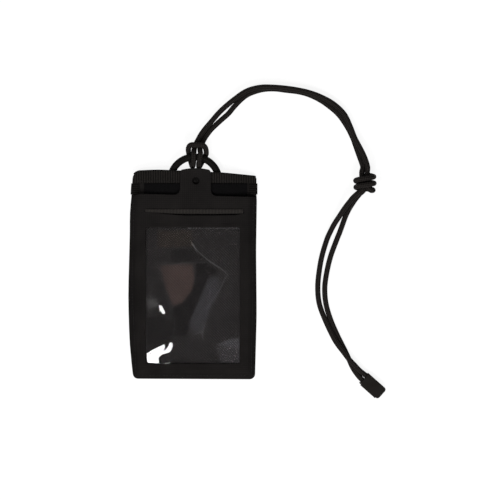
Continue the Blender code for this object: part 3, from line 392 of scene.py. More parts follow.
def round_wire(x, angle):
    """A point round the ring's wire at this x: 0 degrees in front of it, 90 above, 180 behind, 270 inside."""
    across = x - RING_CENTRE
    along = Vector((across, sqrt(RING_MIDDLE ** 2 - across ** 2), 0))
    reach = RING_WIRE / 2 + CORD / 2 + GAP * 1.8
    turn = radians(angle)
    hang = reach + HITCH_SLACK * max(0, -sin(turn))
    spot = along + along.normalized() * hang * sin(turn)
    spot.z += reach * cos(turn)
    return Matrix.Translation((RING_CENTRE, BAR_Y, BAR_Z)) @ Matrix.Rotation(RING_TILT, 4, "X") @ spot


def hitch_path():
    """The bight lies over both standing strands, each side loops behind the wire and comes up inside it."""
    outer, inner = (
        [*metres(start), *(round_wire(x * MM, angle) for x, angle in zip(stops, HITCH_ANGLES)), *metres(out)]
        for start, stops, out in HITCH_SIDES
    )
    return [*outer[::-1], *metres([HITCH_BIGHT]), *inner]


# The barrel knot: two strands and the turns of one round both. Its shares are of the cord's thickness.
KNOT_EXIT_SHARES = ((-1.15, 0.12, 0.0), (-1.65, 0.45, 0.07), (-2.1, 1.05, 0.17))  # along, left, up
SLOT_THROUGH, SLOT_IN, SLOT_OUT = -60, 60, 180
TURN_OUT_SWEEP = 75
TURN_OUT_SHARES = (  # of the way out to the turns, of the sweep, and along the knot
    (0.0, 0.0, 0.68), (0.12, 0.03, 0.114), (0.5, 0.24, -0.295), (0.88, 0.6, -0.227), (1.0, 1.0, 0.0),
)
KNOT_MIDDLE = Vector((*KNOT_CENTRE, KNOT_RADIUS + CORD / 2))
KNOT_ALONG = (Vector((*KNOT_TOP, KNOT_MIDDLE.z)) - KNOT_MIDDLE).normalized()
KNOT_ACROSS = KNOT_ALONG.cross(UP)


def knot_point(radius, angle, reach):
    turn = radians(angle)
    return KNOT_MIDDLE + KNOT_ALONG * reach + (UP * cos(turn) + KNOT_ACROSS * sin(turn)) * radius


def knot_paths():
    """One strand runs straight through. The other goes down, winds back up round all, and down again."""
    first, last = SLOT_IN + TURN_OUT_SWEEP, SLOT_OUT - TURN_OUT_SWEEP + 360 * KNOT_TURNS
    half = KNOT_PITCH * (last - first) / 720
    core = partial(knot_point, KNOT_CORE)

    def turn_out(slot, way, shares):
        out, sweep, rise = shares
        radius = KNOT_CORE + (KNOT_RADIUS - KNOT_CORE) * out
        return knot_point(radius, slot + way * TURN_OUT_SWEEP * sweep, way * (rise * CORD - half))

    through, wound = ([core(slot, half + KNOT_END), core(slot, 0)] for slot in (SLOT_THROUGH, SLOT_IN))
    wound += [turn_out(SLOT_IN, 1, shares) for shares in TURN_OUT_SHARES]
    steps = round((last - first) / 15)
    wound += [
        knot_point(KNOT_RADIUS, first + (last - first) * k / steps, half * (2 * k / steps - 1))
        for k in range(1, steps)
    ]
    wound += [turn_out(SLOT_OUT, -1, shares) for shares in reversed(TURN_OUT_SHARES)]
    wound.append(core(SLOT_OUT, 0))
    for along, left, up in KNOT_EXIT_SHARES:
        aside = KNOT_ACROSS * left * CORD
        wound.append(core(SLOT_OUT, along * CORD) - aside)
        through.append(core(SLOT_THROUGH, along * CORD) - aside + UP * up * CORD)
    return wound, through


UPPER_OUTER = metres((
    (12.6, 125.7, 5), (17.2, 131, 3.4), (23.7, 138.6), (31.9, 146.1), (42.2, 154), (47.9, 157.5),
    (53.3, 159.6), (62.3, 161.3), (73.1, 161.2), (83.9, 160.3), (94.7, 158.7), (105.5, 156.2), (116.3, 152.1),
    (127.1, 146), (136.3, 137.1), (141.6, 126.3), (145.4, 116.4), (148.5, 110.1, 2.6),
    (151.3, 104.7, 4.6), (153.8, 99.3, 7.9), (155.8, 93.9, 10.9), (157.2, 88.3, 12.5),
))
UPPER_INNER = metres((
    (16.9, 124, 2.4), (24.6, 131.2, 2.3), (31.8, 137.6), (36.8, 143.6), (43.1, 150.2), (48.8, 154.6),
    (55.1, 157.4), (64.1, 159.7), (74, 160.1), (83.9, 158.9), (94.7, 157.6), (103.7, 155.3), (112.7, 151.3),
    (121.7, 145.5), (131.4, 137.1), (139, 126.3), (144.1, 116.4), (146.4, 110.1, 2.6),
    (148.2, 104.7, 3.9), (150, 99.3, 5.7), (151.8, 93.9, 7.9), (153.1, 89, 9.6),
))
LOWER_LEFT = metres((
    (144.3, 62, 11.4), (141.7, 58.8, 9.8), (136.7, 52.3, 6.2), (132.2, 45.3, 3.8), (127.6, 38.1, 2.6),
    (123.9, 30.9), (120.8, 23.7), (116.5, 9.3), (113.9, -5.1), (112.7, -19.5), (114.1, -33.9), (119.3, -48.3),
    (126, -62.7), (130.2, -69.9), (135.7, -77.1), (140.9, -84), (145.5, -88.9, 3.6), (150.4, -94.1, 4.8),
))
LOWER_RIGHT = metres((
    (147.1, 61.3, 6.5), (144.9, 58.2, 5.4), (141.1, 52.1, 3.6), (137.8, 45.3, 2.6), (135.2, 38.1),
    (132.6, 30.9), (129.7, 23.7), (124.4, 9.3), (120.9, -5.1), (119, -19.5), (120.1, -33.9), (124.3, -48.3),
    (130.5, -62.7), (134.1, -69.9), (137.7, -77.1), (141.2, -84.7), (144, -91), (147.8, -96.9, 3),
))


def clip_lane(side):
    """The two ends of a strand's straight run inside the clip."""
    mouth, far = Vector((*CLIP_MOUTH, 0)), Vector((*CLIP_FAR_END, 0))
    turn = atan2(far.y - mouth.y, far.x - mouth.x)
    stand = Matrix.Translation((mouth + far) / 2) @ Matrix.Rotation(turn, 4, "Z")
    across, start = CLIP_SHIFT + side * CLIP_LANE, -CLIP_LENGTH / 2
    return [stand @ Vector((u, across, CLIP_CORD_HEIGHT)) for u in (start, start + CLIP_CORD_INSIDE)]


# Meshes

def place(name, data):
    obj = bpy.data.objects.new(name, data)
    bpy.context.scene.collection.objects.link(obj)
    return obj


def link(name, mesh):
    data = bpy.data.meshes.new(name)
    mesh.to_mesh(data)
    mesh.free()
    return place(name, data)


def configure(thing, **settings):
    for key, value in settings.items():
        setattr(thing, key, value)
    return thing


def modify(obj, kind, **settings):
    configure(obj.modifiers.new(kind, kind), **settings)


def settle(obj, edge, cutters=()):
    """Cuts a slab, rounds its edges and keeps the result as its mesh."""
    for cutter in cutters:
        cutter.location.z = -OVERRUN
        modify(obj, "BOOLEAN", operation="DIFFERENCE", object=cutter)
    modify(obj, "BEVEL", width=edge, segments=2, limit_method="ANGLE", angle_limit=radians(60))
    bpy.context.view_layer.update()
    graph = bpy.context.evaluated_depsgraph_get()
    made = bpy.data.meshes.new_from_object(obj.evaluated_get(graph))
    obj.modifiers.clear()
    obj.data = made
    for cutter in cutters:
        bpy.data.objects.remove(cutter, do_unlink=True)


def face_up(mesh):
    """Turns the faces the same way, with the highest one facing up."""
    bmesh.ops.recalc_face_normals(mesh, faces=mesh.faces)
    if max(mesh.faces, key=lambda face: face.calc_center_median().z).normal.z < 0:
        bmesh.ops.reverse_faces(mesh, faces=mesh.faces)


def flat_slab(name, outline, thickness):
    mesh = bmesh.new()
    mesh.faces.new([mesh.verts.new((p[0], p[1], 0)) for p in outline])
    face_up(mesh)
    obj = link(name, mesh)
    modify(obj, "SOLIDIFY", thickness=thickness, offset=1)
    return obj


def cut_slab(name, outline, thickness, edge, holes=()):
    obj = flat_slab(name, outline, thickness)
    settle(obj, edge, [flat_slab("cutter", hole, thickness + 2 * OVERRUN) for hole in holes])
    return obj


def soft_sheet(name, outline, thickness, under, pitch, edge, holes=(), surface=None):
    """A thin sheet with rounded edges, bent over a height field on a fine mesh, with its own relief."""
    obj = cut_slab(name, outline, thickness, edge, holes)
    mesh = bmesh.new()
    mesh.from_mesh(obj.data)
    bmesh.ops.triangulate(mesh, faces=[f for f in mesh.faces if len(f.verts) > 4])
    spots = [v.co for v in mesh.verts]
    for axis in (0, 1):
        low, high = min(s[axis] for s in spots), max(s[axis] for s in spots)
        count = round((high - low) / pitch)
        normal = Vector((1 - axis, axis, 0))
        for k in range(1, count):
            spot = normal * (low + (high - low) * k / count)
            parts = mesh.verts[:] + mesh.edges[:] + mesh.faces[:]
            bmesh.ops.bisect_plane(mesh, geom=parts, dist=1e-7, plane_co=spot, plane_no=normal)
    bmesh.ops.dissolve_degenerate(mesh, dist=1e-6, edges=mesh.edges)
    for vertex in mesh.verts:
        x, y, z = vertex.co
        lift = under(x, y) + (surface(x, y, z > thickness / 2) if surface else 0)
        vertex.co = Vector((x, y, z + lift)) + SHIFT
    mesh.to_mesh(obj.data)
    mesh.free()
    return obj


def ring_round(mesh, spot, side, other, radius, count):
    return [mesh.verts.new(spot + side * p.x + other * p.y) for p in circle(0, 0, radius, count)]


def rod(mesh, rings, uv=None, length=0.0):
    """Skins rings of vertices and caps both ends. U runs once round, and V grows by a length at each ring."""
    for i, (ring, following) in enumerate(zip(rings, rings[1:])):
        count = len(ring)
        for k in range(count):
            n = (k + 1) % count
            face = mesh.faces.new((ring[k], ring[n], following[n], following[k]))
            corners = ((k, i), (k + 1, i), (k + 1, i + 1), (k, i + 1))
            for loop, (u, v) in zip(face.loops if uv else (), corners):
                loop[uv].uv = (u / count, v * length)
    mesh.faces.new(rings[0][::-1])
    mesh.faces.new(rings[-1])


def dress(obj, look, body, nodes=(), smooth_angle=50):
    obj.data.materials.clear()
    obj.data.materials.append(look)
    obj.data.shade_smooth()
    obj.data.set_sharp_from_angle(angle=radians(smooth_angle))
    if nodes:
        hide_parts(*nodes)
    if body:
        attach(obj, body)
    return obj


# Materials. A node's inputs are values or other nodes' sockets.

def feed(socket, value):
    if isinstance(value, bpy.types.NodeSocket):
        socket.id_data.links.new(value, socket)
    else:
        socket.default_value = value


def node(kind, *inputs, tree=None, **settings):
    """Makes a node in this tree, or else in the one that its inputs come from."""
    sockets = (value for value in (*inputs, *settings.values()) if isinstance(value, bpy.types.NodeSocket))
    made = (tree or next(sockets).id_data).nodes.new("ShaderNode" + kind)
    for key, value in settings.items():
        if key in made.inputs:
            feed(made.inputs[key], value)
        else:
            setattr(made, key, value)
    for socket, value in zip(made.inputs, inputs):
        feed(socket, value)
    return made


def new_material(name, roughness, shine=0.05, colour=(0, 0, 0), **sockets):
    made = bpy.data.materials.new(name)
    made.use_nodes = True
    shader = made.node_tree.nodes["Principled BSDF"]
    sockets |= {"Base_Color": (*colour, 1), "Roughness": roughness, "Specular_IOR_Level": shine}
    for socket, value in sockets.items():
        feed(shader.inputs[socket.replace("_", " ")], value)
    return made


def calculated(operation, *values):
    return node("Math", *values, operation=operation).outputs[0]


times, plus, minus, over = (partial(calculated, kind) for kind in ("MULTIPLY", "ADD", "SUBTRACT", "DIVIDE"))
power, highest, lowest = (partial(calculated, kind) for kind in ("POWER", "MAXIMUM", "MINIMUM"))


def mixed(fac, a, b, data_type="RGBA"):
    first, result = (6, 2) if data_type == "RGBA" else (4, 1)
    mix = node("Mix", tree=fac.id_data, data_type=data_type)
    for i, value in ((0, fac), (first, a), (first + 1, b)):
        feed(mix.inputs[i], value)
    return mix.outputs[result]


def wave(spot, axis, pitch):
    """Bands across one axis, this far apart."""
    return node("TexWave", spot, bands_direction=axis, Scale=tau / 20 / pitch).outputs["Fac"]


def noise_fac(spot, scale, detail=3.0):
    return node("TexNoise", spot, Scale=scale, Detail=detail).outputs["Fac"]


def coordinates(material, turn=0.0, output="Object"):
    source = node("TexCoord", tree=material.node_tree).outputs[output]
    return node("Mapping", source, Rotation=(0, 0, turn)).outputs["Vector"] if turn else source


def shade(name, value):
    """Feeds the material's own shader."""
    feed(value.id_data.nodes["Principled BSDF"].inputs[name], value)


def relief(fac, strength, distance):
    bump = node("Bump", Strength=strength, Distance=distance, Height=fac).outputs["Normal"]
    shade("Normal", bump)
    return bump


def colour_between(fac, low, high):
    ramp = node("ValToRGB", fac)
    for element, colour in zip(ramp.color_ramp.elements, (low, high)):
        element.color = (*colour, 1)
    shade("Base Color", ramp.outputs["Color"])


def painted_edge_shade(fac):
    """Painted shade: darkens the cloth's colour where its surface turns away from the view, as on a rolled
    edge.
    """
    aslant = node("LayerWeight", tree=fac.id_data, Blend=0.5)
    return times(fac, minus(1.0, aslant.outputs["Facing"]))


def shell_material():
    """A dense plain-woven coated cloth: fine crossing threads, slight mottling and painted shade where it
    turns away.
    """
    made = new_material("shell_cloth", 0.8)
    spot = coordinates(made)
    weave = times(wave(spot, "X", 1.75 * MM), wave(spot, "Y", 1.75 * MM))
    mottle = noise_fac(spot, 55.0)
    relief(plus(weave, times(mottle, 1.5)), 0.35, 0.12 * MM)
    blend = plus(times(mottle, 0.7), times(weave, 0.5))
    # painted shade where the cloth turns away from the view, over its own weave and mottling
    colour_between(painted_edge_shade(blend), (0.0036, 0.0032, 0.0032), (0.0150, 0.0133, 0.0127))
    return made


def ribbed_material(name, axis, pitch, low, high, dark_round=None):
    """Grosgrain: raised ribs across the tape, darker round one spot where a hole's shade falls on it."""
    made = new_material(name, 0.75)
    spot = coordinates(made)
    ribs = wave(spot, axis, pitch)
    threads = wave(spot, "Y" if axis == "X" else "X", pitch * 0.3)
    relief(plus(ribs, times(threads, 0.25)), 0.7, 0.3 * MM)
    light = times(ribs, plus(noise_fac(spot, 900.0), 0.4))
    if dark_round:
        away = node("VectorMath", spot, dark_round, operation="DISTANCE")
        near = minus(over(away.outputs["Value"], HOLE_RADIUS * 1.2), 0.15)
        near.node.use_clamp = True
        light = times(light, power(near, 8.0))
    # painted shade round the tab's hole and where the tape turns away from the view
    colour_between(painted_edge_shade(light), low, high)
    return made


def twill_material():
    """Two slanting sets of threads that cross, light where both lie on top."""
    made = new_material("lining_twill_cloth", 0.85)
    both = times(*(wave(coordinates(made, radians(turn)), "X", 1.75 * MM) for turn in (45, -45)))
    relief(both, 0.8, 0.2 * MM)
    blend = times(both, plus(noise_fac(coordinates(made), 40.0), 0.5))
    colour_between(blend, (0.0024, 0.0020, 0.0020), (0.0218, 0.0183, 0.0180))
    return made


def plain_material(name, roughness, shine, pattern, strength, depth, low, high):
    """Raised and lighter by the same pattern."""
    made = new_material(name, roughness, shine)
    fac = pattern(coordinates(made))
    relief(fac, strength, depth)
    colour_between(fac, low, high)
    return made


def braid_material():
    """Round braid: two sets of strands that cross. U runs round the tube, V along it, 1 at each turn."""
    made = new_material("braid", 0.75)
    parts = node("SeparateXYZ", coordinates(made, output="UV")).outputs
    round_it, along = times(parts["X"], tau * 4), times(parts["Y"], tau)
    one, two = (calculated("SINE", way(round_it, along)) for way in (plus, minus))
    lifted = plus(times(times(one, two), 0.5), 0.5)
    relief(lifted, 0.9, 0.35 * MM)
    colour_between(lifted, (0.0025, 0.0022, 0.0021), (0.0245, 0.0208, 0.0190))
    return made


def moulded_material(name, colour, roughness, grain, shine):
    """Smooth plastic with a fine grain and scuffs that shine more or less."""
    made = new_material(name, roughness, shine, colour)
    spot = coordinates(made)
    relief(noise_fac(spot, grain), 0.25, 0.1 * MM)
    scuffs = (noise_fac(spot, 120.0), 0.3, 0.7, roughness * 0.8, roughness * 1.25)
    shade("Roughness", node("MapRange", *scuffs).outputs["Result"])
    return made


# Painted reflections, shade and highlights in the slack film. Tints are painted reflections: a colour, how
# much painted light it adds, a soft border in millimetres and an outline in pixels. Shades are painted shade:
# a share of the colour, a soft border and an outline. Folds are painted highlights: two pixels, a width and
# how much painted light they add. Glints are outlines.
FILM_PAINTED_REFLECTIONS = (
    ((1, 0.80, 0.75), 0.0105, 3,
     ((158.5, 264), (194, 262.5), (196, 278.6), (193, 292), (183.6, 304), (172, 308.5), (163.5, 287))),
    ((0.93, 0.93, 1), 0.006, 3.2,
     ((208, 275.5), (221.5, 276), (221, 288.6), (203.5, 332), (193.6, 335), (186.5, 324))),
    ((1, 0.92, 0.84), 0.0015, 2.5, ((156, 229), (193, 229), (194, 248), (156, 249))),
    ((0.95, 0.95, 1), 0.013, 1.6, ((214, 344.5), (230.7, 338), (240.5, 337.3), (240.5, 351), (228, 348.5))),
    ((0.98, 0.96, 1), 0.006, 3, ((213, 345), (242, 345), (242, 366), (220, 366))),
    ((0.95, 0.95, 0.95), 0.018, 4, ((143, 297), (157, 297), (162, 308), (148, 311))),
)
FILM_PAINTED_SHADE = (
    (0.62, 2, ((195, 263), (207, 262), (219, 272), (209, 279), (195, 280))),
    (0.60, 2.5, ((195, 278), (210, 276), (202, 297), (188, 337), (172, 337), (170, 310))),
    (0.70, 2.5, ((146, 317), (160, 315), (173, 321), (175, 334), (169, 342), (160, 344), (146, 352))),
    (0.72, 2, ((170, 248), (196, 249), (206, 260), (193, 263), (170, 263))),
)
FILM_FOLD_HIGHLIGHTS = (
    (190.7, 242, 196.4, 250, 0.8, 0.05), (196.4, 250, 207.9, 260, 0.8, 0.022),
    (207.9, 260, 223.6, 270.7, 0.8, 0.03), (223.6, 270.7, 227.9, 274.8, 1.1, 0.03),
    (228.2, 274, 224.5, 279.5, 0.9, 0.03), (224.5, 279, 220.7, 288.6, 0.8, 0.022),
    (220.7, 288, 210.7, 302.9, 0.8, 0.024), (210.7, 302.5, 206.5, 309, 0.9, 0.035),
    (206.8, 308.6, 205, 324.3, 0.8, 0.024), (205, 324, 201.8, 334.6, 0.9, 0.035),
    (201.8, 334, 203.8, 340.5, 0.9, 0.035), (191.5, 335.8, 202.2, 331.2, 0.8, 0.025),
    (171.6, 306.5, 175, 321.4, 0.8, 0.015), (175, 321, 173.5, 336, 0.8, 0.015),
    (160, 265, 194, 262.6, 0.9, 0.01), (171, 273.4, 187, 271.4, 1.2, 0.022),
    (187, 228, 240, 228, 0.9, 0.017),
)
FILM_GLINTS = (
    ((146.7, 352.2), (153.9, 348.8), (163.7, 343.4), (165, 346.5), (164.2, 354), (158.5, 357.6),
     (146.7, 358.5)),
    ((146.7, 354), (158.4, 355.5), (158.9, 358.6), (161.9, 363.9), (148.9, 363.9), (146.7, 361)),
    ((164.4, 346.9), (169.6, 343.6), (171.4, 341.2), (172.4, 345.4), (171.9, 349.8), (169.6, 352.2),
     (163.8, 354)),
    ((158.7, 305.2), (161.2, 305.4), (163.9, 309.6), (166.1, 315.6), (164.1, 315), (159.6, 311)),
    ((164.5, 362.8), (169.7, 362.6), (169.7, 364.1), (164.5, 364.2)),
)
GLINT_BORDER = 0.12 * MM
GLINT_PIXEL = (160, 353)  # in the middle of the glints
RAGGED = 0.8 * MM  # how far the outlines stray


def patch(spot, corners, soft):
    """1 inside a convex outline of pixels, falling to 0 over a soft border inside it."""
    places = [pixel(*corner) for corner in corners]
    middle = sum(places, Vector()) / len(places)
    edges = []
    for a, b in zip(places, places[1:] + places[:1]):
        inward = Vector((a.y - b.y, b.x - a.x, 0)).normalized()
        inward *= copysign(1, inward.dot(middle - a))
        dot = node("VectorMath", spot, inward / soft, operation="DOT_PRODUCT")
        edges.append(minus(dot.outputs["Value"], inward.dot(a) / soft))
        edges[-1].node.use_clamp = True
    return reduce(lowest, edges)


def strip_corners(x0, y0, x1, y1, width):
    """The corners of a thin strip along the line between two pixels."""
    start, end = Vector((x0, y0)), Vector((x1, y1))
    side = Vector((y0 - y1, x1 - x0)).normalized() * width / 2
    return [start + side, end + side, end - side, start - side]


def film_material():
    """Soft clear vinyl: painted reflections, painted shade and painted highlights in its colour and
    cloudiness, and tipped towards a lamp where it glints.
    """
    clear = (0.93, 0.93, 0.94)
    made = new_material("clear_vinyl", 0.015, 0.5, clear, Transmission_Weight=1.0, IOR=1.3)
    plain = coordinates(made)
    ragged = node("TexNoise", plain, Scale=260.0, Detail=2.0).outputs["Color"]
    stray = node("VectorMath", ragged, (RAGGED, RAGGED, 0), plain, operation="MULTIPLY_ADD").outputs[0]
    spot = node("VectorMath", stray, (RAGGED / 2, RAGGED / 2, 0), operation="SUBTRACT").outputs[0]

    colour, painted_lights = (*clear, 1), []
    # painted shade: darker patches in the film's colour
    for share, soft, corners in FILM_PAINTED_SHADE:
        colour = mixed(patch(spot, corners, soft * MM), colour, (share, share, share, 1))
    # painted reflections: tinted patches, with painted light that takes the place of some transmission
    for reflected_tint, painted_light, soft, corners in FILM_PAINTED_REFLECTIONS:
        fac = patch(spot, corners, soft * MM)
        colour = mixed(fac, colour, (*reflected_tint, 1))
        painted_lights.append(times(fac, painted_light))
    # painted highlights: lighter strips along the folds and the window's top edge
    for *ends, width, painted_light in FILM_FOLD_HIGHLIGHTS:
        painted_lights.append(times(patch(spot, strip_corners(*ends, width * 2), width * PIXEL), painted_light))
    shade("Base Color", colour)
    shade("Transmission Weight", minus(1.0, reduce(highest, painted_lights)))

    glints = reduce(highest, [patch(spot, corners, GLINT_BORDER) for corners in FILM_GLINTS])
    centre = pixel(*GLINT_PIXEL)
    half_way = (EYE - centre).normalized() + (Vector(GLINT_LAMP) - centre).normalized()
    waves = relief(times(noise_fac(plain, 90.0, 1.0), 0.06 * MM), 1.0, 1.0)
    shade("Normal", mixed(glints, waves, half_way.normalized(), "VECTOR"))
    return made


SHELL = shell_material()
HOLE_Y = TOP - HOLE_DEPTH
HOLE_SHADE = Vector((HOLE_CENTRE, HOLE_Y, back_top(HOLE_CENTRE, HOLE_Y) + TAPE_STAND)) + SHIFT
TOP_RIBS, SIDE_RIBS, LIP_RIBS = (ribbed_material(*look) for look in (
    ("grosgrain_across", "X", 2.2 * MM, (0.0030, 0.0027, 0.0025), (0.0165, 0.0146, 0.0129), HOLE_SHADE),
    ("grosgrain_up", "Y", 1.8 * MM, (0.0005, 0.0005, 0.0004), (0.0095, 0.0084, 0.0074)),
    ("grosgrain_lip", "X", 1.3 * MM, (0.009, 0.0082, 0.0080), (0.036, 0.032, 0.029)),
))
TWILL = twill_material()
PILE = plain_material(
    "pile", 0.95, 0.02, lambda spot: noise_fac(spot, 1400.0, 6.0),
    1.0, 0.5 * MM, (0.001, 0.001, 0.001), (0.007, 0.0066, 0.007),
)
BRAID = braid_material()
WEBBING = plain_material(
    "webbing_weave", 0.8, 0.05, lambda spot: times(wave(spot, "X", 1.3 * MM), wave(spot, "Y", 0.7 * MM)),
    0.8, 0.3 * MM, (0.004, 0.0038, 0.004), (0.015, 0.0138, 0.0145),
)
RING_LOOK = moulded_material("ring_moulding", (0.0056, 0.0050, 0.0044), 0.6, 260.0, 0.04)
CLIP_LOOK = moulded_material("clip_moulding", (0.0078, 0.0062, 0.0052), 0.35, 500.0, 0.1)
THREAD = new_material("thread", 0.6, 0.15, (0.012, 0.0105, 0.011))


# Camera, light and the white surface

def lamp(name, spot, size, energy):
    obj = place(name, configure(bpy.data.lights.new(name, "AREA"), shape="SQUARE", size=size, energy=energy))
    obj.location = spot
    obj.rotation_euler = (-obj.location).to_track_quat("-Z", "Y").to_euler()


def camera_and_light():
    scene = bpy.context.scene
    scene.camera = place("camera", bpy.data.cameras.new("camera"))
    scene.camera.location = EYE
    data = scene.camera.data
    data.lens = data.sensor_width * (VIEW_HEIGHT - FOCUS_LEVEL) / (VIEW_PIXELS * PIXEL)
    scene.view_settings.view_transform = "Standard"

    scene.world = bpy.data.worlds.new("studio")
    scene.world.use_nodes = True
    tree = scene.world.node_tree
    white = (1, 1, 1, 1)
    dim, full = (node("Background", white, strength, tree=tree) for strength in (0.25, 1.0))
    seen = node("LightPath", tree=tree).outputs["Is Camera Ray"]
    mix = node("MixShader", seen, dim.outputs[0], full.outputs[0])
    feed(tree.nodes["World Output"].inputs["Surface"], mix.outputs[0])
    lamp("key", (0.35, -1.0, 1.25), 0.7, 16)
    lamp("fill", (-0.9, 0.5, 1.3), 1.0, 4)
    lamp("glint", GLINT_LAMP, 0.2, 8)

    mesh = bmesh.new()
    bmesh.ops.create_grid(mesh, x_segments=8, y_segments=8, size=2.2)
    floor = link("floor", mesh)
    floor.location.z = -0.2 * MM
    paper = bpy.data.materials.new("paper")
    paper.use_nodes = True
    tree = paper.node_tree
    tree.nodes.remove(tree.nodes["Principled BSDF"])
    rays = node("LightPath", tree=tree).outputs
    seen = reduce(highest, [rays[f"Is {kind} Ray"] for kind in ("Camera", "Glossy", "Transmission")])
    matt = node("BsdfDiffuse", (0.18, 0.18, 0.18, 1), tree=tree)
    glow = node("Emission", white, times(seen, 0.87))
    both = node("AddShader", matt.outputs[0], glow.outputs[0])
    feed(tree.nodes["Material Output"].inputs["Surface"], both.outputs[0])
    floor.data.materials.append(paper)


camera_and_light()
FILM_LOOK = film_material()


# Cord

def swept_tube(name, path):
    """A closed round tube along a path, with U round it and V along it in braid pitches."""
    mesh = bmesh.new()
    uv = mesh.loops.layers.uv.new("UVMap")
    rows, side = [], UP
    for i, spot in enumerate(path):
        ahead = (path[min(i + 1, len(path) - 1)] - path[max(i - 1, 0)]).normalized()
        side = (side - ahead * side.dot(ahead)).normalized()
        other = ahead.cross(side)
        rows.append(ring_round(mesh, spot, side, other, CORD_SEEN / 2, TUBE_SIDES))
    rod(mesh, rows, uv, (path[1] - path[0]).length / BRAID_PITCH)
    bmesh.ops.recalc_face_normals(mesh, faces=mesh.faces)
    return link(name, mesh)


def neck_cord():
    """One cord, doubled: from behind the ring each way through the hitch, the knot and into the clip."""
    hitch_stops = hitch_path()
    wound_stops, through_stops = knot_paths()

    def strand(start, route, end):
        return spline([start[1], *route, end[0]], FINE_STEP, start[0], end[1])

    outer = strand(hitch_stops[1::-1], UPPER_OUTER, wound_stops[:2])
    inner = strand(hitch_stops[-2:], UPPER_INNER, through_stops[:2])
    left = strand(through_stops[-2:], LOWER_LEFT, clip_lane(1))
    right = strand(wound_stops[-2:], LOWER_RIGHT, clip_lane(-1))
    hitch = spline(hitch_stops, FINE_STEP / 2, UPPER_OUTER[0], UPPER_INNER[0])
    wound = spline(wound_stops, FINE_STEP / 2, UPPER_OUTER[-1], LOWER_RIGHT[0])
    through = spline(through_stops, FINE_STEP / 2, UPPER_INNER[-1], LOWER_LEFT[0])
    ride_over(outer, inner)
    ride_over(left, right)
    split = round(len(hitch) * HITCH_SPLIT_SHARE)
    for name, points, solids in (
        ("cord_winding", hitch[:split + 1][::-1] + outer[1:] + wound[1:] + right[1:] + [clip_lane(-1)[1]],
         ("lanyard_hitch", "lanyard_upper_outer", "lanyard_knot_wound", "lanyard_lower_right")),
        ("cord_through", hitch[split:] + inner[1:] + through[1:] + left[1:] + [clip_lane(1)[1]],
         ("lanyard_upper_inner", "lanyard_knot_through", "lanyard_lower_left")),
    ):
        path = [Vector((p.x, p.y, max(p.z, CORD_SEEN / 2))) + SHIFT for p in even_steps(points, TUBE_STEP)]
        obj = dress(swept_tube(name, path), BRAID, None, solids, 80)
        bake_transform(obj)


# Pouch

def wrinkles(x, y):
    """The cloth's slow unevenness, fading towards the seams."""
    calm = smooth(from_seam(x, y), 0, EDGE_SHOULDER)
    broad, narrow = noise.noise(Vector((x, y, 0)) * 28), noise.noise(Vector((x, y, 0.4)) * 75)
    return 0.28 * MM * calm * (broad + 0.5 * narrow)


def pressed(x, y):
    """How far the cloth is pressed down round the window, along the outer seam and at the tab's root."""
    def weld(apart):
        return exp(-(apart / WELD_WIDTH) ** 2)

    apart = max(abs(x) - WINDOW_HALF, WINDOW_LOW - y, y - WINDOW_HIGH)
    share = weld(apart - WELD_OFFSET) + exp(-max(apart, 0) / LIP_REACH)
    if y < MOUTH_Y - WELD_OFFSET:
        share += 0.7 * weld(from_seam(x, y) - ROLL_OFFSET)
    if abs(x - TAB_CENTRE) < TAB_WIDTH / 2 + TAB_FILLET:
        share += 0.6 * weld(y - MOUTH_Y + TAB_FILLET * 1.1)
    return WELD_DEPTH * share


def front_relief(x, y, top_side):
    slow = wrinkles(x, y) * smooth((MOUTH_Y - y) / (4 * EDGE_SHOULDER) + 0.4)
    return slow - (pressed(x, y) if top_side else 0)


def film_relief(x, y, top_side):
    """Slack vinyl lies in broad waves."""
    calm = smooth(min(WINDOW_HALF - abs(x), y - WINDOW_LOW, WINDOW_HIGH - y), 0, 5 * MM)
    spot = Vector((x, y, 0))
    return calm * MM * (0.3 * noise.noise(spot * 22) + 0.05 * noise.noise(spot * 75 + Vector((3, 1, 0))))


def nap(x, y, top_side):
    return 0.22 * MM * noise.noise(Vector((x, y, 0)) * 1500) if top_side else 0


def slit_lip(x):
    """The card slit's upper lip hangs lower in its middle than at its ends, and highest at its left one."""
    t = (x - SLIT_SHIFT) / SLIT_WIDTH + 0.5
    lift = SLIT_SAG * max(0, 1 - t / 0.5) ** 2 + SLIT_SAG * 0.25 * max(0, (t - 0.6) / 0.4) ** 2
    return TOP - SLIT_DEPTH + SLIT_OPENING / 2 + lift


def slit_outline():
    steps = 24
    upper, lower = [], []
    for k in range(steps + 1):
        t = k / steps
        x = SLIT_LEFT + SLIT_WIDTH * t
        open_here = SLIT_OPENING * (0.25 + 0.6 * smooth(t * 2.5) * smooth((1 - t) * 12))
        upper.append(Vector((x, slit_lip(x))))
        lower.append(Vector((x, slit_lip(x) - open_here)))
    return upper + lower[::-1]


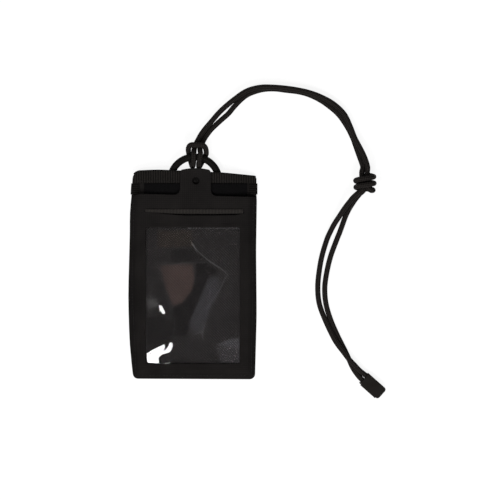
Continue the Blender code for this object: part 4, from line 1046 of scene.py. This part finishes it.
def front_sheet():
    """The front panel and its tab are one piece of cloth, which bends at the tab's root."""
    radius = (TAB_WIDTH ** 2 / 4 + TAB_ARCH ** 2) / (2 * TAB_ARCH)
    sweep = asin(TAB_WIDTH / 2 / radius) * (1 - TAB_CORNER / TAB_WIDTH)
    arch = [
        (TAB_CENTRE - radius * sin(angle), TAB_TIP_Y - radius * (1 - cos(angle)), 0)
        for angle in (sweep * (1 - k / 6) for k in range(13))
    ]
    shoulder = TAB_TIP_Y - TAB_ARCH - TAB_CORNER / 2
    corners = [
        MOUTH_LEFT, (TAB_LEFT, mouth_y(TAB_LEFT), TAB_FILLET), (TAB_LEFT, shoulder, 0), *arch,
        (TAB_RIGHT, shoulder, 0), (TAB_RIGHT, mouth_y(TAB_RIGHT), TAB_FILLET), MOUTH_RIGHT, *POUCH_CORNERS,
    ]
    window = box_outline(-WINDOW_HALF, WINDOW_HALF, WINDOW_LOW, WINDOW_HIGH, WINDOW_CORNER)
    holes = (window, slit_outline(), circle(HOLE_CENTRE, HOLE_Y, HOLE_RADIUS, HOLE_POINTS))
    obj = soft_sheet("front_cloth", rounded(corners), FABRIC, front_under, CLOTH_MESH, CLOTH_EDGE, holes,
                     front_relief)
    dress(obj, SHELL, None, ("front_panel", "pull_tab"))
    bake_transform(obj)


def back_sheet():
    obj = soft_sheet("back_cloth", BACK_OUTLINE, FABRIC, back_under, BACK_MESH, CLOTH_EDGE)
    dress(obj, SHELL, "wallet", ("back_panel",))


def inner_sheets():
    """The film, the card pocket's lining and the two halves of the closure, each a plain oblong."""
    def oblong(name, solid, box, thickness, under, mesh, edge, surface, look):
        obj = soft_sheet(name, box_outline(*box), thickness, under, mesh, edge, surface=surface)
        dress(obj, look, "wallet", (solid,))
        return obj

    half = WINDOW_HALF + FILM_BORDER
    box = (-half, half, WINDOW_LOW - FILM_BORDER, WINDOW_HIGH + FILM_BORDER)
    film = oblong("window_film", "window_pane", box, FILM, film_under, FILM_MESH, FILM_EDGE, film_relief,
                  FILM_LOOK)
    film.visible_shadow = False
    oblong("lining_cloth", "pocket_lining", (-LINING_HALF, LINING_HALF, LINING_LOW, LINING_HIGH), LINING,
           lining_under, LINING_MESH, LINING_EDGE, None, TWILL)
    for name, (low, high), under in (("loop", LOOP_DEPTHS, loop_under), ("hook", HOOK_DEPTHS, hook_under)):
        box = (STRIP_CENTRE - STRIP_WIDTH / 2, STRIP_CENTRE + STRIP_WIDTH / 2, TOP - low, TOP - high)
        oblong(f"{name}_pile", f"{name}_strip", box, HOOK_AND_LOOP, under, PILE_MESH, PILE_EDGE, nap,
               PILE)


def tape(name, path, inward, flap, under, look, solid):
    """Tape folded round a sheet's edge, with a round turn and both flaps lying on the cloth."""
    mesh = bmesh.new()
    rows = []
    flap_steps, turn_steps = 5, 6
    for i, (x, y) in enumerate(path):
        edge = Vector((x, y))
        along = path[min(i + 1, len(path) - 1)] - path[max(i - 1, 0)]
        outward = Vector((along.y, -along.x)).normalized()
        outward *= -copysign(1, outward.dot(inward))
        spots = [(1 - k / flap_steps, FABRIC + GAP) for k in range(flap_steps)]
        spots += [(TAPE_BACK_SHARE * k / flap_steps, -GAP) for k in range(1, flap_steps + 1)]
        spots = [(edge + inward * flap(edge) * share, stand) for share, stand in spots]
        row = [(*spot, under(*spot) + stand) for spot, stand in spots]
        row[flap_steps:flap_steps] = [
            (*(edge + outward * GAP * cos(turn)), under(x, y) + FABRIC / 2 + (FABRIC / 2 + GAP) * sin(turn))
            for turn in (pi * (0.5 - k / turn_steps) for k in range(turn_steps + 1))
        ]
        rows.append([mesh.verts.new(Vector(point) + SHIFT) for point in row])
    for row, following in zip(rows, rows[1:]):
        for k in range(len(row) - 1):
            mesh.faces.new((row[k], row[k + 1], following[k + 1], following[k]))
    face_up(mesh)
    obj = link(name, mesh)
    modify(obj, "SOLIDIFY", thickness=TAPE, offset=1)
    settle(obj, TAPE_EDGE)
    dress(obj, look, "wallet", (solid,))
    wrap = flap(path[len(path) // 2]) * (1 + TAPE_BACK_SHARE) + pi * (FABRIC / 2 + GAP)


def fine_path(points, pitch):
    points = [Vector(point) for point in points]
    path = []
    for start, end in zip(points, points[1:]):
        pieces = max(1, round((end - start).length / pitch))
        path += [start.lerp(end, k / pieces) for k in range(pieces)]
    return path + [points[-1]]


def tapes():
    header = set()
    for start, end in zip(BACK_OUTLINE, BACK_OUTLINE[1:] + BACK_OUTLINE[:1]):
        run = end - start
        if min(start.y, end.y) > BOTTOM + BODY_HEIGHT * 0.9 and abs(run.y) <= abs(run.x):
            header |= {(round(p.x, 7), round(p.y, 7)) for p in (start, end)}
    tape("top_tape", fine_path(sorted(header), 2 * MM), Vector((0, -1)),
         lambda edge: edge.y - TOP + TOP_TAPE_DEPTH, back_under, TOP_RIBS, "top_binding")
    for side, hand in ((-1, "left"), (1, "right")):
        ends = [(side_x(side, y), y) for y in (TOP - SIDE_TAPE_LOW_DEPTH, TOP - TOP_TAPE_DEPTH - GAP)]
        tape(f"side_tape_{hand}", fine_path(ends, 1.5 * MM), Vector((-side, 0)), lambda edge: SIDE_TAPE_FLAP,
             back_under, SIDE_RIBS, f"side_binding_{hand}")
    places = (SLIT_LEFT + SLIT_WIDTH * (0.01 + 0.98 * k / 40) for k in range(41))
    straight = slit_lip(SLIT_SHIFT) + SLIT_TAPE_FLAP
    tape("slit_tape", [Vector((x, slit_lip(x))) for x in places], Vector((0, 1)),
         lambda edge: max(straight - edge.y, GAP), front_under, LIP_RIBS, "slit_binding")


def keeper():
    """Webbing round the ring's bar, with both ends under the header."""
    inner = RING_WIRE / 2 + GAP
    outer = inner + TAPE
    turn_steps, tail_steps = 28, 8
    turns = (radians(100 - 270 * k / turn_steps) for k in range(turn_steps + 1))
    profile = [(BAR_Y + outer * cos(turn), BAR_Z + outer * sin(turn)) for turn in turns]
    tail_end = BAR_Y - outer - KEEPER_TAIL
    lower = [tail_end + (profile[-1][0] - tail_end) * (1 - k / tail_steps) for k in range(1, tail_steps + 1)]
    profile += [(y, back_under(RING_CENTRE, y) - GAP - 2 * TAPE) for y in lower]
    profile += [(y, back_under(RING_CENTRE, y) - GAP) for y in reversed(lower)]
    bore = circle(BAR_Y, BAR_Z, inner, HOLE_POINTS)
    obj = cut_slab("keeper_webbing", profile, KEEPER_WIDTH, PILE_EDGE, [bore])
    stand = Matrix(((0, 0, 1, 0), (1, 0, 0, 0), (0, 1, 0, 0), (0, 0, 0, 1)))
    obj.data.transform(Matrix.Translation(Vector((RING_CENTRE - KEEPER_WIDTH / 2, 0, 0)) + SHIFT) @ stand)
    dress(obj, WEBBING, "wallet", ("ring_keeper",))


def sewing():
    """Seams along the top tape and round the pouch. Each stitch is a bowed rod with its ends in the cloth."""
    y = TOP - TOP_TAPE_DEPTH + 1.6 * MM
    runs = [([(side_x(-1, y) + 4 * MM, y), (side_x(1, y) - 9 * MM, y)], raised(back_top, TAPE_STAND))]
    inset, low = 3.4 * MM, BOTTOM + 2.6 * MM
    heights = (low + 4 * MM, BOTTOM + 86 * MM, MOUTH_Y - 6 * MM)
    runs += [([(side_x(side, y) - side * inset, y) for y in heights], front_top) for side in (-1, 1)]
    runs.append(([(side_x(side, low) - side * 2.4 * inset, low + 1.2 * MM) for side in (-1, 1)], front_top))
    mesh = bmesh.new()
    for points, surface in runs:
        fine = [Vector((*p, 0)) for p in fine_path(points, STITCH_PITCH / 2)]
        total = length_of(fine)
        places = even_steps(fine, total / max(2, round(total / STITCH_PITCH)))
        for start, end in zip(places, places[1:]):
            middle, run = (start + end) / 2, (end - start) * STITCH_SHARE / 2
            side = Vector((-run.y, run.x, 0)).normalized()
            rings = []
            for share in (-1, -0.6, 0, 0.6, 1):
                spot = middle + run * share
                spot.z = surface(spot.x, spot.y) + STITCH * (0.35 - 0.75 * share ** 2)
                girth = STITCH / 2 * (1 - 0.45 * share ** 2)
                rings.append(ring_round(mesh, spot + SHIFT, side, UP, girth, 6))
            rod(mesh, rings)
    bmesh.ops.recalc_face_normals(mesh, faces=mesh.faces)
    dress(link("seam_thread", mesh), THREAD, "wallet", smooth_angle=80)


neck_cord()
front_sheet()
back_sheet()
inner_sheets()
tapes()
keeper()
sewing()
for solid, look in (("d_ring", RING_LOOK), ("clip_base", CLIP_LOOK), ("clip_lid", CLIP_LOOK)):
    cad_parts[solid].data.materials.clear()
    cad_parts[solid].data.materials.append(look)
